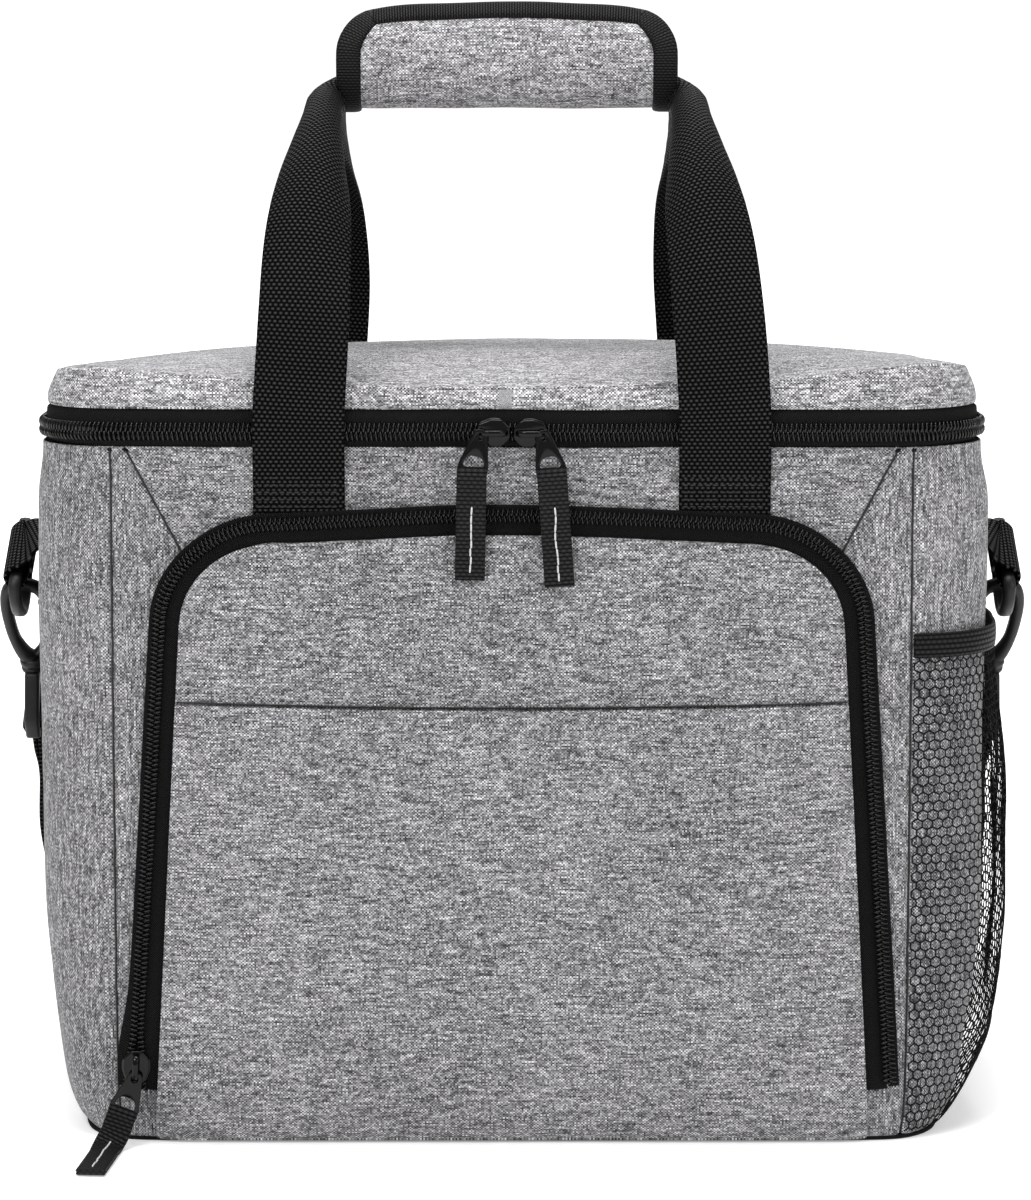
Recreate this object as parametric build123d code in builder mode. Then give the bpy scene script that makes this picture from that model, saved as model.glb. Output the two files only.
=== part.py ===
from build123d import *

import os
from math import cos, radians, sin

# Insulated cooler bag, in millimetres. Origin: centre of the base, on the plane the bag stands on.
# +Z is up, -Y is the front with the zipped pocket, +X is the side with the mesh pocket.
# Each piece of fabric, foam, webbing, zipper and plastic is its own solid; SEWN is the clearance
# that keeps sewn neighbours apart.

# ---- driving dimensions ----
BAG_W, BAG_D, CORNER_R = 390, 240, 40  # shell, outside, and its upright corners
SEAM_Z = 301  # where the body meets the lid, through the middle of the zipper
LID_TOP = 336
FABRIC, FOAM, LINER = 1.0, 5.0, 0.6
SEWN = 0.2
WEB_W, WEB_T = 38, 1.8  # webbing of the handles and the shoulder strap

# ---- worked-out levels and places ----
FRONT_Y = -BAG_D / 2
SEAM_X = 165  # upright seams between the front panel and the gussets
WALL_FOOT = 2
WALL_TOP = SEAM_Z - 0.5
FOAM_FLOOR = 4.2
TUB_FLOOR = FOAM_FLOOR + FOAM + SEWN
TUB_TOP = WALL_TOP - 1.5

# lid zipper: a coil of two halves with a tape on each side, standing proud of the shell
COIL_H, COIL_PROUD, TAPE_PROUD = 4.8, 4.5, 1.2
LOWER_TAPE_H, UPPER_TAPE_H = 4, 6
ZIP_END_Y = 100  # the zipper stops here on both sides; the hinge strip takes over behind
SLIDER_X = 12.5

# carrying handles
LEG_IN, LEG_OUT = 69, 107  # each leg of webbing spans these distances from the middle
GRIP_IN = 79  # the legs are narrower beside the grip
PIVOT_Y, PIVOT_Z = 123.3, 287.5  # where the webbing leaves its stitching
LEG_Y, BEND_R = 128.2, 110  # upright part of the leg, and its bend over to the grip
FRONT_PLATE_Z, BACK_PLATE_Z = 457.5, 453.5
GRIP_HALF, GRIP_Y = 77, 22.7
GRIP_LOW, GRIP_HIGH = 431.5, 476.5

# front pocket
POCKET_FOOT_X, POCKET_TOP_X, POCKET_TOP_Z, POCKET_R = 158, 146, 266, 46
POCKET_FOOT_Z, POCKET_PANEL_INSET, SLIP_TOP_Z = 14, 10.5, 188
POCKET_COIL, POCKET_TAPE_W = 4.3, 11
POCKET_ZIP_FOOT, POCKET_INNER_FOOT = 18, 44
POCKET_SEAT = 17  # the slider rests this far up the zipper's left run
PIN_LIFT = 4.4  # from a slider's seat on the coil to the pin that holds its puller
PULL_LEAN = 20  # the pocket's pull hangs this many degrees off the upright

# mesh pocket
MESH_FOOT, MESH_TOP, MESH_DEPTH, ELASTIC_H = 12, 217, 8.7, 11

# shoulder strap: everything on it hangs in one plane that leans back behind the bag
RING_X, RING_Z, RING_R, RING_WIRE = 218, 236, 25, 2.5
STRAP_LEAN = 38  # degrees from straight down
STRAP_REACH, STRAP_CORNER_R = 234, 45
TAB_T = 1.7
HOOK_H, HOOK_W, HOOK_WIRE, HOOK_T = 50, 22, 5, 6
GATE_H = 24  # opening in the hook's inner side, which the gate closes
STEM_R, COLLAR_R, COLLAR_H, STEM_H = 3, 4.5, 4, 14.5  # stem that turns in the buckle
BUCKLE_H, BUCKLE_T, BUCKLE_BAR = 26, 7, 4.6

os.makedirs("parts", exist_ok=True)


def save(piece, name):
    piece.part.label = name
    export_step(piece.part, f"parts/{name}.step")


def facing_front(y):
    """A plane parallel to the front of the bag, at y, with its normal pointing forwards."""
    return Plane(origin=(0, y, 0), x_dir=(1, 0, 0), z_dir=(0, -1, 0))


def plan(offset):
    """The bag's outline from above, moved outwards by offset."""
    with BuildSketch() as outline:
        RectangleRounded(BAG_W + 2 * offset, BAG_D + 2 * offset, CORNER_R + offset)
    return outline.sketch


def band(outer, inner, low, high):
    """An upright band that follows the outline from above, between two offsets and two levels."""
    outside, inside = plan(outer), plan(inner)
    with BuildPart() as piece:
        with BuildSketch(Plane.XY.offset(low)):
            add(outside)
            add(inside, mode=Mode.SUBTRACT)
        extrude(amount=high - low)
    return piece


def slab(offset, low, high):
    """A flat sheet of the outline from above, between two levels."""
    outside = plan(offset)
    with BuildPart() as piece:
        with BuildSketch(Plane.XY.offset(low)):
            add(outside)
        extrude(amount=high - low)
    return piece


# ---------------------------------------------------------------- fabric shell
def shell_piece(name, centre, size):
    """One sewn panel: the part of the shell band that lies inside a box."""
    whole = band(0, -FABRIC, WALL_FOOT, WALL_TOP)
    with BuildPart() as piece:
        add(whole.part)
        with Locations(centre):
            Box(*size, mode=Mode.INTERSECT)
    save(piece, name)


def shell():
    seam = SEAM_X - 0.05
    gusset_w = BAG_W / 2 - SEAM_X - 0.05
    gusset_x = BAG_W / 2 - gusset_w / 2
    shell_piece("front_panel", (0, FRONT_Y, SEAM_Z / 2), (2 * seam, 20, 400))
    shell_piece("back_panel", (0, -FRONT_Y, SEAM_Z / 2), (2 * seam, 20, 400))
    shell_piece("left_gusset", (-gusset_x, 0, SEAM_Z / 2), (gusset_w, 400, 400))
    shell_piece("right_gusset", (gusset_x, 0, SEAM_Z / 2), (gusset_w, 400, 400))
    save(slab(-2, 0, 1.8), "base_panel")
    save(band(2.5, SEWN, 0.3, 5), "base_piping")
    save(slab(-5, 2, 4), "base_board")


# ---------------------------------------------------------------- insulation and liner
def insulation():
    long_wall = BAG_W - 2 * CORNER_R - 10
    short_wall = BAG_D - 2 * CORNER_R - 2
    wall_mid = (TUB_FLOOR + TUB_TOP) / 2
    wall_h = TUB_TOP - TUB_FLOOR
    in_y = BAG_D / 2 - FABRIC - SEWN - FOAM / 2
    in_x = BAG_W / 2 - FABRIC - SEWN - FOAM / 2
    walls = {
        "front_foam": ((0, -in_y, wall_mid), (long_wall, FOAM, wall_h)),
        "back_foam": ((0, in_y, wall_mid), (long_wall, FOAM, wall_h)),
        "left_foam": ((-in_x, 0, wall_mid), (FOAM, short_wall, wall_h)),
        "right_foam": ((in_x, 0, wall_mid), (FOAM, short_wall, wall_h)),
    }
    for name, (centre, size) in walls.items():
        with BuildPart() as foam:
            with Locations(centre):
                Box(*size)
        save(foam, name)
    save(slab(-5, FOAM_FLOOR, FOAM_FLOOR + FOAM), "base_foam")

    tub_w = BAG_W - 2 * (FABRIC + FOAM + 2 * SEWN)
    tub_d = BAG_D - 2 * (FABRIC + FOAM + 2 * SEWN)
    tub_r = CORNER_R - 10
    with BuildPart() as tub:
        with BuildSketch(Plane.XY.offset(TUB_FLOOR)):
            RectangleRounded(tub_w, tub_d, tub_r)
        extrude(amount=TUB_TOP - TUB_FLOOR)
        with BuildSketch(Plane.XY.offset(TUB_FLOOR + LINER)):
            RectangleRounded(tub_w - 2 * LINER, tub_d - 2 * LINER, tub_r - LINER)
        extrude(amount=TUB_TOP, mode=Mode.SUBTRACT)
    save(tub, "liner_tub")


# ---------------------------------------------------------------- lid
def lid():
    band_top = LID_TOP - 4
    save(band(0, -FABRIC, SEAM_Z + 0.5, band_top), "lid_band")
    save(slab(0, band_top + SEWN, LID_TOP), "lid_top_panel")
    save(slab(-1.4, band_top - 16, band_top), "lid_foam")
    save(slab(-1.4, band_top - 16.2 - LINER, band_top - 16.2), "lid_liner")


def zip_run(name, proud, low, high):
    """A zipper part that follows the shell round the front and both sides."""
    whole = band(proud, SEWN, low, high)
    with BuildPart() as run:
        add(whole.part)
        with Locations((0, ZIP_END_Y + 50, SEAM_Z)):
            Box(2 * BAG_W, 100, 100, mode=Mode.SUBTRACT)
    save(run, name)


def lid_zipper():
    coil_low = SEAM_Z - SEWN - COIL_H
    coil_high = SEAM_Z + SEWN + COIL_H
    zip_run("lid_zip_lower_coil", COIL_PROUD, coil_low, SEAM_Z - SEWN)
    zip_run("lid_zip_upper_coil", COIL_PROUD, SEAM_Z + SEWN, coil_high)
    zip_run("lid_zip_lower_tape", TAPE_PROUD, coil_low - LOWER_TAPE_H, coil_low)
    zip_run("lid_zip_upper_tape", TAPE_PROUD, coil_high, coil_high + UPPER_TAPE_H)
    strip_low, strip_high = PIVOT_Z - 0.7, SEAM_Z - 1
    with BuildPart() as hinge_strip:
        with Locations((0, BAG_D / 2 + SEWN + FABRIC / 2, (strip_low + strip_high) / 2)):
            Box(2 * SEAM_X - 20, FABRIC, strip_high - strip_low)
    save(hinge_strip, "lid_hinge_strip")


# ---------------------------------------------------------------- handles
def sewn_webbing(side, name):
    """The two legs of webbing stitched up the front (side -1) or back (side 1) of the shell."""
    foot, top = 12, PIVOT_Z - 1.2
    with BuildPart() as webbing:
        for x in (-(LEG_IN + LEG_OUT) / 2, (LEG_IN + LEG_OUT) / 2):
            with Locations((x, side * (BAG_D / 2 + SEWN + WEB_T / 2), (foot + top) / 2)):
                Box(WEB_W, WEB_T, top - foot)
    save(webbing, name)


def handle_loop(side, plate_z, name):
    """The free loop of a handle: two legs that rise, bend over the lid and meet in a flat plate."""
    far = LEG_Y + 3  # clear of the leg's outer face
    half = WEB_W / 2
    corner = [(LEG_OUT, 50), (LEG_OUT - 22, -half)]
    inner = [(GRIP_IN, half), (GRIP_IN, 45), (LEG_IN, 60), (LEG_IN, far), (LEG_OUT, far)]
    right_edge = [(x, side * y) for x, y in inner + corner]
    left_edge = [(-x, y) for x, y in reversed(right_edge)]
    with BuildPart() as loop:
        with BuildSketch(Plane.YZ.offset(-LEG_OUT)):
            with BuildLine():
                rise = Polyline(
                    (side * PIVOT_Y, PIVOT_Z),
                    (side * LEG_Y, PIVOT_Z + 7),
                    (side * LEG_Y, plate_z - BEND_R),
                )
                bend = TangentArc(
                    rise @ 1, (side * (LEG_Y - BEND_R), plate_z), tangent=(0, 1)
                )
                Line(bend @ 1, (-side * half, plate_z))
            trace(line_width=WEB_T)
        extrude(amount=2 * LEG_OUT)
        with BuildSketch(Plane.XY.offset(PIVOT_Z - 10)):
            with BuildLine():
                Polyline(*right_edge, *left_edge, close=True)
            make_face()
        extrude(amount=300, mode=Mode.INTERSECT)
    save(loop, name)


def grip():
    """The padded wrap: a C of fabric on the back handle, foam above and below, a flap in front."""
    skin = 1.5
    length = 2 * GRIP_HALF
    with BuildPart() as wrap:
        with BuildSketch(Plane.YZ.offset(-GRIP_HALF)):
            with BuildLine():
                Polyline(
                    (-GRIP_Y + 2, GRIP_LOW),
                    (GRIP_Y, GRIP_LOW),
                    (GRIP_Y, GRIP_HIGH),
                    (-GRIP_Y + 2, GRIP_HIGH),
                    (-GRIP_Y + 2, GRIP_HIGH - skin),
                    (GRIP_Y - skin, GRIP_HIGH - skin),
                    (GRIP_Y - skin, GRIP_LOW + skin),
                    (-GRIP_Y + 2, GRIP_LOW + skin),
                    close=True,
                )
            make_face()
        extrude(amount=length)
        fillet(wrap.edges().filter_by(Axis.X).group_by(Axis.Y)[-1], 1.2)
    save(wrap, "grip_wrap")

    pad_low = (GRIP_LOW + skin + SEWN, BACK_PLATE_Z - WEB_T / 2 - SEWN)
    pad_high = (FRONT_PLATE_Z + WEB_T / 2 + 2, GRIP_HIGH - skin - SEWN)
    for name, (low, high) in {"grip_pad_lower": pad_low, "grip_pad_upper": pad_high}.items():
        with BuildPart() as pad:
            with Locations((0, 0, (low + high) / 2)):
                Box(length - 2, 2 * (GRIP_Y - skin - SEWN), high - low)
            fillet(pad.edges().filter_by(Axis.X), 3)
        save(pad, name)

    flap_y = -GRIP_Y - 0.4
    with BuildPart() as flap:
        with BuildSketch(facing_front(flap_y)):
            with Locations((0, (GRIP_LOW + GRIP_HIGH) / 2)):
                Rectangle(length - 12, GRIP_HIGH - GRIP_LOW - 12)
        extrude(amount=2)
    save(flap, "grip_flap")
    with BuildPart() as binding:
        with BuildSketch(facing_front(flap_y)):
            with Locations((0, (GRIP_LOW + GRIP_HIGH) / 2)):
                RectangleRounded(length, GRIP_HIGH - GRIP_LOW, 6)
                Rectangle(length - 11.6, GRIP_HIGH - GRIP_LOW - 11.6, mode=Mode.SUBTRACT)
        extrude(amount=2.4)
    save(binding, "grip_flap_binding")


# ---------------------------------------------------------------- zipper sliders and pulls
def slider(plane, name, pin_dir):
    """A zipper slider on a coil. The plane's x runs along the coil, its normal points outwards, and
    the pin that holds the puller runs along pin_dir."""
    body_t = 2.4
    lugs = Plane(origin=plane.origin, x_dir=pin_dir, z_dir=plane.z_dir)
    with BuildPart() as piece:
        with BuildSketch(plane):
            RectangleRounded(15, 11, 3.5)
        extrude(amount=body_t)
        with BuildSketch(lugs.offset(body_t)):
            with Locations((-4.2, 0), (4.2, 0)):
                Rectangle(1.2, 3.2)
        extrude(amount=PIN_LIFT - body_t + 1.3)
        pin_end = lugs.from_local_coords(Vector(-4, 0, PIN_LIFT))
        with BuildSketch(Plane(origin=pin_end, z_dir=pin_dir)):
            Circle(0.75)
        extrude(amount=8)
    save(piece, name)


def pull(plane, name, tab_path):
    """The metal puller on a slider's pin, and its tab of folded webbing.

    The plane's x points away from the bag, its y points back towards the pin from the tab, its
    normal runs along the pin, and its origin is on the pin. tab_path is the middle of the tab.
    """
    knuckle_r, bore_r, plate_t, plate_end = 1.8, 0.85, 1.2, 17
    with BuildPart() as puller:
        with BuildSketch(plane.offset(-3)):
            Circle(knuckle_r)
            with Locations((0, -plate_end / 2)):
                Rectangle(plate_t, plate_end)
            Circle(bore_r, mode=Mode.SUBTRACT)
        extrude(amount=6)
        with BuildSketch(plane.offset(-4.5)):
            with Locations((0, -(plate_end + 5) / 2)):
                Rectangle(plate_t, plate_end - 5)
        extrude(amount=9)
        with BuildSketch(plane.offset(-3.5)):
            with Locations((0, -plate_end + 3.6)):
                Rectangle(4 * plate_t, 3)
        extrude(amount=7, mode=Mode.SUBTRACT)
    save(puller, f"{name}_puller")
    with BuildPart() as tab:
        with BuildSketch(plane.offset(-6.5)):
            with BuildLine():
                if len(tab_path) == 2:
                    Line(*tab_path)
                else:
                    FilletPolyline(*tab_path, radius=12)
            trace(line_width=2.4)
        extrude(amount=13)
    save(tab, f"{name}_pull_tab")


def zipper_pulls():
    coil_face = FRONT_Y - COIL_PROUD - SEWN
    for side, word in ((-1, "left"), (1, "right")):
        x = side * SLIDER_X
        at = Plane(origin=(x, coil_face, SEAM_Z), x_dir=(1, 0, 0), z_dir=(0, -1, 0))
        slider(at, f"lid_{word}_slider", Vector(1, 0, 0))
        hang = Plane(origin=(x, coil_face - PIN_LIFT, SEAM_Z), x_dir=(0, -1, 0), z_dir=(-1, 0, 0))
        pull(hang, f"lid_{word}", [(0, -17.2), (0, -62)])

    foot, along = pocket_run()
    seat = foot + along * POCKET_SEAT
    coil_y = POCKET_COIL_FACE - SEWN
    at = Plane(origin=(seat.X, coil_y, seat.Z), x_dir=along, z_dir=(0, -1, 0))
    swing = radians(PULL_LEAN)
    up = Vector(sin(swing), 0, cos(swing))
    out = Vector(0, -1, 0)
    pin_dir = out.cross(up)
    slider(at, "pocket_slider", pin_dir)
    hang = Plane(origin=(seat.X, coil_y - PIN_LIFT, seat.Z), x_dir=out, z_dir=pin_dir)
    pull(hang, "pocket", [(0, -17.2), (0, -31.5), (32, -31.5)])


# ---------------------------------------------------------------- front pocket
POCKET_TAPE_Y = FRONT_Y - WEB_T - 2 * SEWN  # the pocket's zipper lies over the sewn webbing
POCKET_COIL_Y = POCKET_TAPE_Y - 1 - SEWN
POCKET_COIL_FACE = POCKET_COIL_Y - 2.6


def pocket_run():
    """The foot of the pocket zipper's left run, and the direction in which it climbs."""
    slope = (POCKET_FOOT_X - POCKET_TOP_X) / (POCKET_TOP_Z - POCKET_FOOT_Z)
    foot = Vector(-POCKET_FOOT_X + slope * (POCKET_ZIP_FOOT - POCKET_FOOT_Z), 0, POCKET_ZIP_FOOT)
    return foot, Vector(slope, 0, 1).normalized()


def pocket_outline(inset):
    """The inverted U of the pocket's zipper, moved inwards; its feet run on below the bag."""
    run_on = 80
    slope = (POCKET_FOOT_X - POCKET_TOP_X) / (POCKET_TOP_Z - POCKET_FOOT_Z)
    low_x = POCKET_FOOT_X + slope * run_on
    with BuildSketch() as outline:
        with BuildLine():
            Polyline(
                (-low_x, POCKET_FOOT_Z - run_on),
                (-POCKET_TOP_X, POCKET_TOP_Z),
                (POCKET_TOP_X, POCKET_TOP_Z),
                (low_x, POCKET_FOOT_Z - run_on),
                close=True,
            )
        make_face()
        fillet(outline.vertices().group_by(Axis.Y)[-1], POCKET_R)
        offset(amount=-inset, kind=Kind.INTERSECTION)
    return outline.sketch


def pocket_strip(name, outer, inner, y, thickness, low, high=400):
    """A strip between two insets of the outline, or the whole area inside one if inner is None."""
    outside = pocket_outline(outer)
    inside = pocket_outline(inner) if inner is not None else None
    with BuildPart() as strip:
        with BuildSketch(facing_front(y)):
            add(outside)
            if inside is not None:
                add(inside, mode=Mode.SUBTRACT)
        extrude(amount=thickness)
        with Locations((0, y, (low + high) / 2)):
            Box(2 * BAG_W, 30, high - low, mode=Mode.INTERSECT)
    save(strip, name)


def front_pocket():
    half_gap = 0.15
    pocket_strip("pocket_zip_outer_tape", -POCKET_TAPE_W + 2, -half_gap, POCKET_TAPE_Y, 1, POCKET_ZIP_FOOT)
    pocket_strip("pocket_zip_outer_coil", -POCKET_COIL, -half_gap, POCKET_COIL_Y, 2.6, POCKET_ZIP_FOOT)
    pocket_strip("pocket_zip_inner_tape", half_gap, POCKET_TAPE_W, POCKET_TAPE_Y, 1, POCKET_INNER_FOOT)
    pocket_strip("pocket_zip_inner_coil", half_gap, POCKET_COIL, POCKET_COIL_Y, 2.6, POCKET_INNER_FOOT)
    panel_t = 4
    pocket_strip("pocket_panel", POCKET_PANEL_INSET, None, POCKET_COIL_Y, panel_t, POCKET_FOOT_Z)
    slip_y = POCKET_COIL_Y - panel_t - SEWN
    pocket_strip("slip_pocket", POCKET_PANEL_INSET, None, slip_y, 1.4, POCKET_FOOT_Z, SLIP_TOP_Z)


# ---------------------------------------------------------------- mesh pocket
def side_wrap(name, low, high, thickness, floor=0.0):
    """A sheet sewn in at the front and back seams that stands off the right gusset, open at the
    top, with an optional floor."""
    seam_x, seam_y = SEAM_X + 2.5, BAG_D / 2 - 0.8
    bulge_x, bulge_y = BAG_W / 2 + MESH_DEPTH, 76
    with BuildPart() as wrap:
        with BuildSketch(Plane.XY.offset(low)):
            with BuildLine():
                front = TangentArc((seam_x, -seam_y), (bulge_x, -bulge_y), tangent=(1, 0))
                side = Line(front @ 1, (bulge_x, bulge_y))
                TangentArc((seam_x, seam_y), side @ 1, tangent=(1, 0))
                offset(amount=thickness, side=Side.RIGHT)
            make_face()
        extrude(amount=high - low)
        if floor:
            with BuildSketch(Plane.XY.offset(low)):
                with Locations((BAG_W / 2 + (MESH_DEPTH + thickness) / 2, 0)):
                    Rectangle(MESH_DEPTH + thickness, 2 * bulge_y)
            extrude(amount=floor)
        with BuildSketch(Plane.XY.offset(low)):
            RectangleRounded(BAG_W + 2 * SEWN, BAG_D + 2 * SEWN, CORNER_R + SEWN)
        extrude(amount=high - low, mode=Mode.SUBTRACT)
    save(wrap, name)


def mesh_pocket():
    """A pocket of net on the right gusset, open at the top under a band of elastic."""
    net, elastic = 1, 1.6
    side_wrap("mesh_pocket", MESH_FOOT, MESH_TOP - ELASTIC_H - SEWN, net, floor=net)
    side_wrap("mesh_pocket_elastic", MESH_TOP - ELASTIC_H, MESH_TOP, elastic)


# ---------------------------------------------------------------- shoulder strap
def strap_plane(x=0.0):
    """Plane of the hanging strap through the rings' centres: y points up along it."""
    lean = radians(STRAP_LEAN)
    up = Vector(0, -sin(lean), cos(lean))
    return Plane(origin=(x, 0, RING_Z), x_dir=(1, 0, 0), z_dir=Vector(1, 0, 0).cross(up))


def strap_edge_plane(side):
    """Plane through a side of the strap, square to its webbing: x across the webbing, y up it."""
    tilted = strap_plane(side * RING_X)
    return Plane(origin=tilted.origin, x_dir=tilted.z_dir * -1, z_dir=Vector(1, 0, 0))


def side_tab(side, word):
    """A loop of webbing sewn to the gusset, round the straight bar of the D-ring."""
    eye_in = RING_WIRE + 0.4
    eye_out = eye_in + TAB_T
    shell_x = BAG_W / 2 + SEWN
    sewn_low = RING_Z - 14
    with BuildPart() as tab:
        with BuildSketch(Plane.XZ.offset(-WEB_W / 2)):
            with Locations((side * RING_X, RING_Z)):
                Circle(eye_out)
            with Locations((side * (shell_x + RING_X) / 2, RING_Z + eye_out - TAB_T / 2)):
                Rectangle(RING_X - shell_x, TAB_T)
            with Locations((side * (shell_x + TAB_T / 2), (sewn_low + RING_Z + eye_out) / 2)):
                Rectangle(TAB_T, RING_Z + eye_out - sewn_low)
            with Locations((side * RING_X, RING_Z)):
                Circle(eye_in, mode=Mode.SUBTRACT)
        extrude(amount=WEB_W)
    save(tab, f"{word}_side_tab")


def d_ring(side, word):
    """The D-ring: a straight bar inside the tab's loop and a half circle that holds the hook."""
    x = side * RING_X
    ends = [(x, -RING_R, RING_Z), (x, RING_R, RING_Z)]
    with BuildPart() as ring:
        with BuildSketch(Plane(origin=ends[0], x_dir=(1, 0, 0), z_dir=(0, 1, 0))):
            Circle(RING_WIRE)
        extrude(amount=2 * RING_R)
        with BuildSketch(Plane(origin=ends[0], x_dir=(1, 0, 0), z_dir=(0, 0, 1))) as wire:
            Circle(RING_WIRE)
        revolve(wire.sketch, axis=Axis((x, 0, RING_Z), (1, 0, 0)), revolution_arc=180)
        with Locations(*ends):
            Sphere(RING_WIRE)
    save(ring, f"{word}_d_ring")


def snap_hook(side, word):
    """A swivel hook through the ring: eye with a gap, flexible gate, and a stem that turns in the
    strap's buckle."""
    plane = strap_plane(side * RING_X)
    top = -RING_R + RING_WIRE + 0.5 + 5  # outside of the eye, above the ring's wire
    middle = top - HOOK_H / 2
    foot = top - HOOK_H
    with BuildPart() as hook:
        with BuildSketch(plane.offset(-HOOK_T / 2)):
            with Locations((0, middle)):
                SlotOverall(HOOK_H, HOOK_W, rotation=90)
                SlotOverall(HOOK_H - 2 * HOOK_WIRE, HOOK_W - 2 * HOOK_WIRE, rotation=90,
                            mode=Mode.SUBTRACT)
        extrude(amount=HOOK_T)
        fillet(hook.edges().filter_by(plane), 1)
        with BuildSketch(plane.offset(-HOOK_T / 2)):
            with Locations((-side * (HOOK_W - HOOK_WIRE) / 2, middle + 1)):
                Rectangle(HOOK_WIRE + 2, GATE_H)
        extrude(amount=HOOK_T, mode=Mode.SUBTRACT)
        stem = Plane(plane.from_local_coords(Vector(0, foot + 1, 0)), z_dir=plane.y_dir * -1)
        with BuildSketch(stem):
            Circle(COLLAR_R)
        extrude(amount=COLLAR_H)
        with BuildSketch(stem):
            Circle(STEM_R)
        extrude(amount=STEM_H)
        with BuildSketch(stem.offset(STEM_H - 1.8)):
            Circle(STEM_R + 1)
        extrude(amount=2)
    save(hook, f"{word}_snap_hook")
    gate_x = -side * ((HOOK_W - HOOK_WIRE) / 2 - 0.2)
    with BuildPart() as gate:
        with BuildSketch(plane.offset(-2.4)):
            with Locations((gate_x, middle + 1)):
                RectangleRounded(3, GATE_H - 0.6, 1.2)
        extrude(amount=4.8)
    save(gate, f"{word}_hook_gate")

    buckle_top = foot + 1 - COLLAR_H - SEWN
    shoulder = buckle_top - 14
    end = buckle_top - BUCKLE_H
    half = WEB_W / 2 + 4
    with BuildPart() as buckle:
        with BuildSketch(strap_edge_plane(side).offset(-BUCKLE_T / 2)):
            with BuildLine():
                Polyline((-7, buckle_top), (7, buckle_top), (half, shoulder), (half, end),
                         (-half, end), (-half, shoulder), close=True)
            make_face()
            with BuildLine():
                Polyline((-9, buckle_top - 8), (9, buckle_top - 8), (half - 3.5, shoulder - 1),
                         (half - 3.5, end + BUCKLE_BAR), (3.5 - half, end + BUCKLE_BAR),
                         (3.5 - half, shoulder - 1), close=True)
            make_face(mode=Mode.SUBTRACT)
        extrude(amount=BUCKLE_T)
        bore = Plane(plane.from_local_coords(Vector(0, buckle_top, 0)), z_dir=plane.y_dir * -1)
        with BuildSketch(bore):
            Circle(STEM_R + 0.1)
        extrude(amount=9, mode=Mode.SUBTRACT)
    save(buckle, f"{word}_strap_buckle")
    return end


def strap_webbing(bar_y):
    """The strap: a loop round each buckle's bar, and one run behind the bag from side to side."""
    plane = strap_plane()
    side_x, bottom, bar_mid = RING_X, -STRAP_REACH, bar_y + 2.5
    with BuildPart() as strap:
        with BuildSketch(plane.offset(-WEB_W / 2)):
            with BuildLine():
                FilletPolyline(
                    (-side_x, bar_y - 1.5),
                    (-side_x, bottom),
                    (side_x, bottom),
                    (side_x, bar_y - 1.5),
                    radius=STRAP_CORNER_R,
                )
            trace(line_width=WEB_T)
            for side in (-1, 1):
                with Locations((side * side_x, bar_mid)):
                    Rectangle(12, 10)
                    Rectangle(8.4, 6.4, mode=Mode.SUBTRACT)
        extrude(amount=WEB_W)
    save(strap, "shoulder_strap_webbing")


def strap_adjuster():
    """A three-bar slide on the run of strap behind the bag. The webbing passes through it."""
    plane = strap_plane()
    length, slot_w, low_end = 30, 5, -75
    across = Plane(
        origin=plane.from_local_coords(Vector(low_end, -STRAP_REACH, 0)),
        x_dir=plane.z_dir,
        z_dir=plane.x_dir,
    )
    with BuildPart() as adjuster:
        with BuildSketch(across):
            RectangleRounded(WEB_W + 8, 7, 2)
            Rectangle(WEB_W + 1, 3, mode=Mode.SUBTRACT)
        extrude(amount=length)
        middle = plane.from_local_coords(Vector(low_end + length / 2, -STRAP_REACH - 10, 0))
        with BuildSketch(Plane(origin=middle, x_dir=plane.x_dir, z_dir=plane.y_dir)):
            with Locations((-7, 0), (7, 0)):
                Rectangle(slot_w, WEB_W)
        extrude(amount=20, mode=Mode.SUBTRACT)
    save(adjuster, "strap_adjuster")


def shoulder_strap():
    for side, word in ((-1, "left"), (1, "right")):
        side_tab(side, word)
        d_ring(side, word)
        bar_y = snap_hook(side, word)
    strap_webbing(bar_y)
    strap_adjuster()


shell()
insulation()
lid()
lid_zipper()
sewn_webbing(-1, "front_sewn_webbing")
sewn_webbing(1, "back_sewn_webbing")
handle_loop(-1, FRONT_PLATE_Z, "front_handle_loop")
handle_loop(1, BACK_PLATE_Z, "back_handle_loop")
grip()
front_pocket()
zipper_pulls()
mesh_pocket()
shoulder_strap()
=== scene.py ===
import math

import bmesh
import bpy
import numpy as np
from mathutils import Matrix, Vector, noise


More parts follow.
